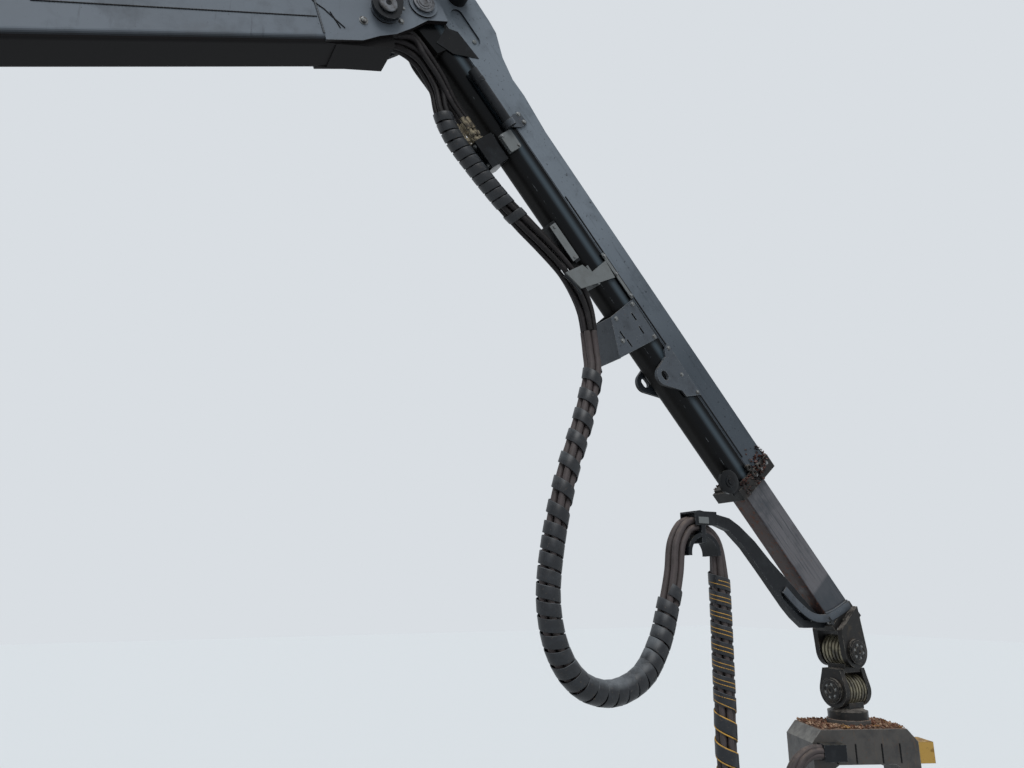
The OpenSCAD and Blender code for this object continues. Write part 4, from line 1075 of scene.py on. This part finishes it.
# Retainer caps on the ends of the two link pins, each with a ring of small bolts
CAP_OUT = 0.1255
CAP_BOLTS_R = 0.038
CAP = [(64, -1), (64, 3), (60, 5), (46, 5), (46, 2), (30, 2), (30, 6), (25, 8), (12, 8), (11, 3), (0, 3)]
for body, centre, axis in (("telescope", TIP, ACROSS), ("link", ROLL, Vector((1, 0, 0)))):
    cap_bolts = []
    side = axis.orthogonal().normalized()
    other = axis.cross(side)
    for sign, label in ((-1, "near"), (1, "far")):
        face = centre + axis * sign * CAP_OUT
        turned(f"{body}_pin_cap_{label}", body, cast_black, face, axis * sign, CAP)
        for number in range(6):
            spoke = side * math.cos(number * math.pi / 3) + other * math.sin(number * math.pi / 3)
            cap_bolts.append((face + spoke * CAP_BOLTS_R + axis * sign * 0.002, axis * sign, 13))
    bolts(f"{body}_pin_cap_bolts", body, cap_bolts)

# Bolts of the base, the covers, clamps, brackets and eyes
BASE_BOLTS = 20
BASE_BOLTS_R = 0.28
FLANGE_TOP = 0.040
base_rows = [
    (Vector((BASE_BOLTS_R * math.cos(turn), BASE_BOLTS_R * math.sin(turn), FLANGE_TOP)), (0, 0, 1), 36)
    for turn in (2 * math.pi * number / BASE_BOLTS for number in range(BASE_BOLTS))
]
bolts("base_bolts", "crane_base", base_rows)
boom_rows = []
jib_rows = []
for side in (RIGHT, LEFT):
    sign = side.y
    boom_rows += [(at_nose(-384, sign * 130, -112), side, 34), (at_nose(-165, sign * 130, -110), side, 24)]
    boom_rows += [(at_nose(-127, sign * 130, -32), side, 15), (at_nose(-470, sign * 130, 40), side, 24)]
    jib_rows += [
        (on_jib(x, sign * 98, z), side, 20)
        for x, z in ((2034, 64), (2266, 62), (2164, -152), (2040, -100))
    ]
    jib_rows += [(on_jib(x, sign * 106, z), side, 18) for x, z in ((2372, 96), (2545, 66), (2690, 90))]
    jib_rows += [(on_jib(3316, sign * 104, z), side, 20) for z in (110, 170, 230)]
jib_rows += [(on_jib(x, -100, z), RIGHT, 20) for x, z in ((762, 155), (817, 158))]
jib_rows += [(on_jib(x, -77, -77), RIGHT, 16) for x in (1408, 1616)]
jib_rows += [(on_jib(x, -98, 93), RIGHT, 18) for x in (1712, 1836, 1990)]
jib_rows += [(on_jib(x, y, -206), -UP_JIB, 20) for x in (800, 926) for y in (-60, 46)]
jib_rows += [(on_jib(x, -108, z), RIGHT, 14) for x, z in ((830, -40), (918, 22))]
telescope_rows = [(on_jib(4330, sign * 60, -34), -UP_JIB, 20) for sign in (-1, 1)]
bolts("boom_bolts", "main_boom", boom_rows)
bolts("jib_bolts", "jib", jib_rows)
bolts("telescope_bolts", "telescope", telescope_rows)


def bead_on(name, body, paths, width=0.012, finish=weld_enamel):
    """Weld beads on one body along open paths."""
    points, edges = [], []
    for path in paths:
        first = len(points)
        points += path
        edges += [(first + stop, first + stop + 1) for stop in range(len(path) - 1)]
    thing = plain_mesh(
        name, BEAD_SHAPE, points, edges, {"Width": width, "Ripple": RIPPLE, "Finish": finish}
    )
    fix_to(thing, body)


def slab(name, body, finish, place, low, high, soft_mm=1.5):
    """A plain block between two corners given in one of the crane's frames, with its edges just broken."""
    corners = [
        place(x, y, z) for x in (low[0], high[0]) for y in (low[1], high[1]) for z in (low[2], high[2])
    ]
    form = bmesh.new()
    knots = [form.verts.new(corner) for corner in corners]
    for side in ((0, 1, 3, 2), (4, 6, 7, 5), (0, 4, 5, 1), (2, 3, 7, 6), (0, 2, 6, 4), (1, 5, 7, 3)):
        form.faces.new([knots[knot] for knot in side])
    bmesh.ops.recalc_face_normals(form, faces=form.faces)
    bmesh.ops.bevel(
        form, geom=list(form.edges), offset=soft_mm / 1000, segments=2, affect="EDGES", profile=0.5
    )
    mesh = bpy.data.meshes.new(name)
    form.to_mesh(mesh)
    form.free()
    mesh.materials.append(finish)
    fix_to(put(name, mesh), body)


# The jib's small trim: a pale bare face on the cover box, a bar along the lap, and a button in the pocket
slab("cover_box_face", "jib", pale_sheet, on_jib, (1392, -77, -103), (1632, -74.2, -52))
slab("lap_bar", "jib", pale_sheet, on_jib, (1690, -98, 82), (2008, -90.6, 103))
for label, sign in SIDES:
    turned(
        f"pocket_button_{label}", "jib", pale_sheet, on_jib(282, sign * 79, 206), (0, sign, 0),
        [(13, -2), (13, 4), (9, 6), (0, 6)], 24,
    )
# Guide roller that hangs from the collar's lower lug, and pipe eyes bolted to the collar's side
slab("roller_plate", "jib", oiled_and_shaded_enamel, on_jib, (3196, -110, -128), (3300, -98, -34), 4)
turned(
    "guide_roller", "jib", oiled_and_shaded_enamel, on_jib(3206, -112, -112), RIGHT,
    [(66, -8), (70, -4), (70, 14), (58, 18), (34, 18), (32, 24), (18, 24), (16, 30), (0, 30)],
)
for number, (x, z, radius) in enumerate(((3246, 84, 20), (3296, 96, 22), (3288, 158, 20))):
    turned(
        f"pipe_eye_{number}", "jib", cast_black, on_jib(x, -104, z), RIGHT,
        [(radius, -4), (radius, 12), (radius * 0.8, 15), (radius * 0.52, 15), (radius * 0.5, 6), (0, 6)],
        28,
    )

# Seams of the boom: the nose plates' rear edge and the box's lower corners
boom_seams = []
for sign in (-1, 1):
    boom_seams.append([at_nose(-622, sign * 131, 96), at_nose(-622, sign * 131, -190)])
    boom_seams.append(
        [on_boom(x, sign * 131, z) for x, z in ((700, 96), (1700, 108), (2900, 98), (3560, 76))]
    )
bead_on("boom_seams", "main_boom", boom_seams)
# Caulked joint along the boom's side and the edge of the nose's doubling plate
plate_lines = []
for sign in (-1, 1):
    plate_lines.append(
        [at_nose(x, sign * 130.4, z) for x, z in ((-1891, -68), (-1500, -77), (-1100, -86), (-634, -97))]
    )
    plate_lines.append(
        [
            at_nose(x, sign * 131, z)
            for x, z in ((-634, -5), (-610, -31), (-584, -53), (-545, -105), (-501, -158))
        ]
    )
    # The third line lies in a narrow groove of the plate, its darkness painted shade
    plate_lines.append([at_nose(x, sign * 131, z) for x, z in ((-556, -69), (-542, -110), (-526, -159))])
bead_on("plate_lines", "main_boom", plate_lines, 0.007, oiled_and_shaded_enamel)
jib_seams = [[on_jib(x, sign * 84.5, 95) for x in (470, 1200, 2200, 3270)] for sign in (-1, 1)]
bead_on("jib_seams", "jib", jib_seams, 0.008)
# Dark line where the lapped plates meet, just above the bar and the eyes: a painted shadow of the step
# between them
lap_shadow_lines = [[on_jib(x, sign * 90.5, 108) for x in (1300, 1900, 2500, 3180)] for sign in (-1, 1)]
bead_on("lap_shadow_lines", "jib", lap_shadow_lines, 0.010, oiled_and_shaded_enamel)

# Flat strap on each side that carries the hose arm up to the beam's end, and the welds that hold it there
STRAP_MM = [
    (3976, 30, -152), (4060, 32, -143), (4130, 36, -132), (4196, 46, -118), (4252, 60, -88),
    (4296, 71, -34), (4326, 71.5, 32), (4350, 71.5, 100), (4372, 71.5, 172),
]
straps = []
for label, sign in SIDES:
    strap_line = smooth_line([on_jib(x, sign * y, z) for x, y, z in STRAP_MM], 6)
    flat_on = [math.pi / 2] * len(strap_line)
    in_place = [1.0] * len(strap_line)
    straps.append(
        strand(
            f"arm_strap_{label}", strap_line, flat_on, in_place, distance=0.0, width=0.050,
            thickness=0.010, is_round=False, finish=scoured_enamel,
        )
    )
arm_strap = joined("arm_strap", straps)
fix_to(arm_strap, "telescope")
strap_welds = [
    [on_jib(x, sign * 70, z) for x, z in ((4268, -26), (4298, 36), (4320, 100), (4342, 178))]
    for sign in (-1, 1)
]
bead_on("strap_welds", "telescope", strap_welds, 0.013, scoured_enamel)

# Pipe that runs beside the jib from the hose saddle to the slotted bracket
SADDLE_PIPE_D = 0.014
SADDLE_PIPE = [
    (4.859, -0.100, 1.803), (4.905, -0.101, 1.778), (4.945, -0.101, 1.742), (4.971, -0.100, 1.713)
]
saddle_pipe = single_pipe("saddle_pipe", smooth_line(SADDLE_PIPE, 6), SADDLE_PIPE_D, black_enamel)
fix_to(saddle_pipe, "jib")

# Plates that hold the clamp over the hose arch, one on each face of it
ARCH = Vector((5.7893, 0, 0.3573))
ARCH_FACE_MM = 66.2
ARCH_PLATE_MM = 70.2


def at_arch(x, y, z):
    """A point given in millimetres from the hose arch's middle."""
    return ARCH + Vector((x, y, z)) / 1000


for label, sign in SIDES:
    low, high = sorted((sign * ARCH_FACE_MM, sign * ARCH_PLATE_MM))
    slab(f"arch_plate_{label}", "telescope", pale_sheet, at_arch, (-34, low, 112), (40, high, 150), 1.2)

# Upright joints between the plates of the hanger's long sides
hanger_joints = [
    [on_hanger(x, sign * 180.5, z) for z in (-78, -130, -182)]
    for x in (-178, -62, 96, 205)
    for sign in (-1, 1)
]
bead_on("hanger_joints", "hanger", hanger_joints, 0.009, oiled_and_shaded_enamel)

# Leaves and bark caught on the collar and lying on the hanger's flat top
scatter = random.Random(5)


def litter(name, body, spots, long_mm, seed, finish=leaf_brown):
    """Leaves and flakes at the spots given, all on one body."""
    thing = plain_mesh(
        name, LEAF_SHAPE, spots, [], {"Length": long_mm / 1000, "Seed": seed, "Finish": finish}
    )
    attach(thing, body)


# Each clump lies about a middle along the jib and a height over its axis, and is so many millimetres wide
CLUMPS = [(3262, 215, 34), (3305, 150, 30), (3330, 60, 26), (3340, -30, 24), (3250, -20, 22)]
LEAVES_ON_COLLAR = 520
LEAVES_ON_HANGER = 1300
# The lap lies this high over the jib's axis, the collar starts this far along it, and the rotator keeps a
# circle of the hanger's top clear
LAP_MM = 100
COLLAR_FROM_MM = 3280
ROTATOR_R_MM = 128

collar_spots = []
for number in range(LEAVES_ON_COLLAR):
    middle, height, wide = CLUMPS[number % len(CLUMPS)]
    along = min(3368, scatter.gauss(middle, wide))
    over = min(262, max(-42, scatter.gauss(height, 1.3 * wide)))
    # Below the lap the box is narrower, and only the collar holds anything
    along = max(along, COLLAR_FROM_MM + 6) if over < LAP_MM else along
    on_collar = along > COLLAR_FROM_MM
    # The collar stands 14 mm proud of the box, and leaves lie against whichever is there
    proud = 105 if on_collar else 91
    if number % 4 < 3:
        side = -1 if number % 3 else 1
        collar_spots.append(on_jib(along, side * scatter.uniform(proud, proud + 6), over))
    else:
        across = scatter.uniform(-86, 86)
        collar_spots.append(on_jib(along, across, scatter.uniform(0, 5) + (274 if on_collar else 262)))
litter("collar_litter", "jib", collar_spots, 24, 3, leaf_mould)
on_top = [(scatter.uniform(-255, 255), scatter.uniform(-172, 172)) for number in range(LEAVES_ON_HANGER)]
on_top = [(x, y) for x, y in on_top if math.hypot(x, y) > ROTATOR_R_MM]
hanger_spots = [on_hanger(x, y, scatter.uniform(2, 9)) for x, y in on_top]
litter("hanger_litter", "hanger", hanger_spots, 22, 4)

# Finishes of the CAD nodes
FINISHED_IN = [
    (black_enamel, [
        "base_flange", "slew_housing", "slew_cylinders", "pillar", "lift_cylinder_tube",
        "jib_cylinder_tube", "rocker", "feed_tube", "hose_arm", "hose_arch", "hose_bulkhead",
    ]),
    (pin_steel, ["pillar_pins", "boom_pins"]),
    (slate_enamel, ["main_boom", "rocker_link"]),
    (rod_chrome, ["lift_cylinder_rod", "jib_cylinder_rod"]),
    (jib_enamel, ["jib_box"]),
    (oiled_and_shaded_enamel, ["root_guards", "valve_block", "cover_box"]),
    (scoured_enamel, ["tube_clamp", "slotted_bracket", "lifting_eyes"]),
    (pale_sheet, ["cover_plate", "hose_saddle_plate"]),
    (zinc_yellow, ["valve_fittings"]),
    (cast_black, ["end_collar", "tip_fork", "pitch_pin", "link_body", "roll_pin", "rotator_body"]),
    (pad_nylon, ["slide_pads", "beam_shoe"]),
    (beam_steel, ["inner_beam"]),
    (disc_steel, ["pitch_discs", "roll_discs"]),
    (hanger_enamel, ["rotator_flange", "hanger_frame"]),
    (guard_yellow, ["hanger_end_guard"]),
    (hose_rubber, ["nose_hoses", "loop_hoses", "drop_hoses"]),
]
for finish, nodes in FINISHED_IN:
    for node in nodes:
        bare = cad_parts[node].data.materials
        bare.clear()
        bare.append(finish)

# Stage: a plain pale floor and soft studio light at a plain level
# The floor lies low enough that the hanger stays clear of it with the boom lowered or the jib let out
FLOOR = -3.4
FLOOR_HALF = 60
floor_mesh = bpy.data.meshes.new("floor")
corners = [(x * FLOOR_HALF, y * FLOOR_HALF, FLOOR) for x, y in ((-1, -1), (1, -1), (1, 1), (-1, 1))]
floor_mesh.from_pydata(corners, [], [(0, 1, 2, 3)])
floor = put("floor", floor_mesh)
floor_paint = bpy.data.materials.new("matt_floor_paint")
floor_paint.use_nodes = True
floor_tree = floor_paint.node_tree
floor_shader = floor_tree.nodes["Principled BSDF"]
# The floor looks pale, and throws back no more light on the undersides than a forest floor does
floor_seen = step(floor_tree, "ShaderNodeLightPath")
floor_hue = step(
    floor_tree, "ShaderNodeMix",
    {0: floor_seen.outputs["Is Diffuse Ray"], 6: colour("#dde1e4"), 7: colour("#5c5e60")},
    data_type="RGBA",
)
floor_tree.links.new(floor_hue.outputs[2], floor_shader.inputs["Base Color"])
floor_shader.inputs["Roughness"].default_value = 0.9
floor_mesh.materials.append(floor_paint)

SKY_STRENGTH = 0.62
LAMP_STRENGTH = 1.5
LAMP_WIDE = math.radians(35)
LAMP_LOOKS = Vector((0.25, 0.55, -0.8))

world = bpy.data.worlds.new("studio")
bpy.context.scene.world = world
world.use_nodes = True
sky = world.node_tree
sky.nodes.clear()
seen_by = step(sky, "ShaderNodeLightPath")
seen = step(sky, "ShaderNodeBackground", {"Color": colour("#d9dee3"), "Strength": 1.0})
light = step(sky, "ShaderNodeBackground", {"Color": (0.93, 0.97, 1.0, 1.0), "Strength": SKY_STRENGTH})
either = step(
    sky, "ShaderNodeMath", {0: seen_by.outputs["Is Camera Ray"], 1: seen_by.outputs["Is Glossy Ray"]},
    operation="MAXIMUM",
)
any_of = step(
    sky, "ShaderNodeMath", {0: either, 1: seen_by.outputs["Is Transmission Ray"]}, operation="MAXIMUM"
)
both_skies = step(sky, "ShaderNodeMixShader", {0: any_of, 1: light, 2: seen})
step(sky, "ShaderNodeOutputWorld", {"Surface": both_skies})

key = bpy.data.lights.new("key", "SUN")
key.energy = LAMP_STRENGTH
key.angle = LAMP_WIDE
key_lamp = put("key", key)
key_lamp.rotation_euler = LAMP_LOOKS.to_track_quat("-Z", "Y").to_euler()

bpy.context.scene.view_settings.view_transform = "Standard"
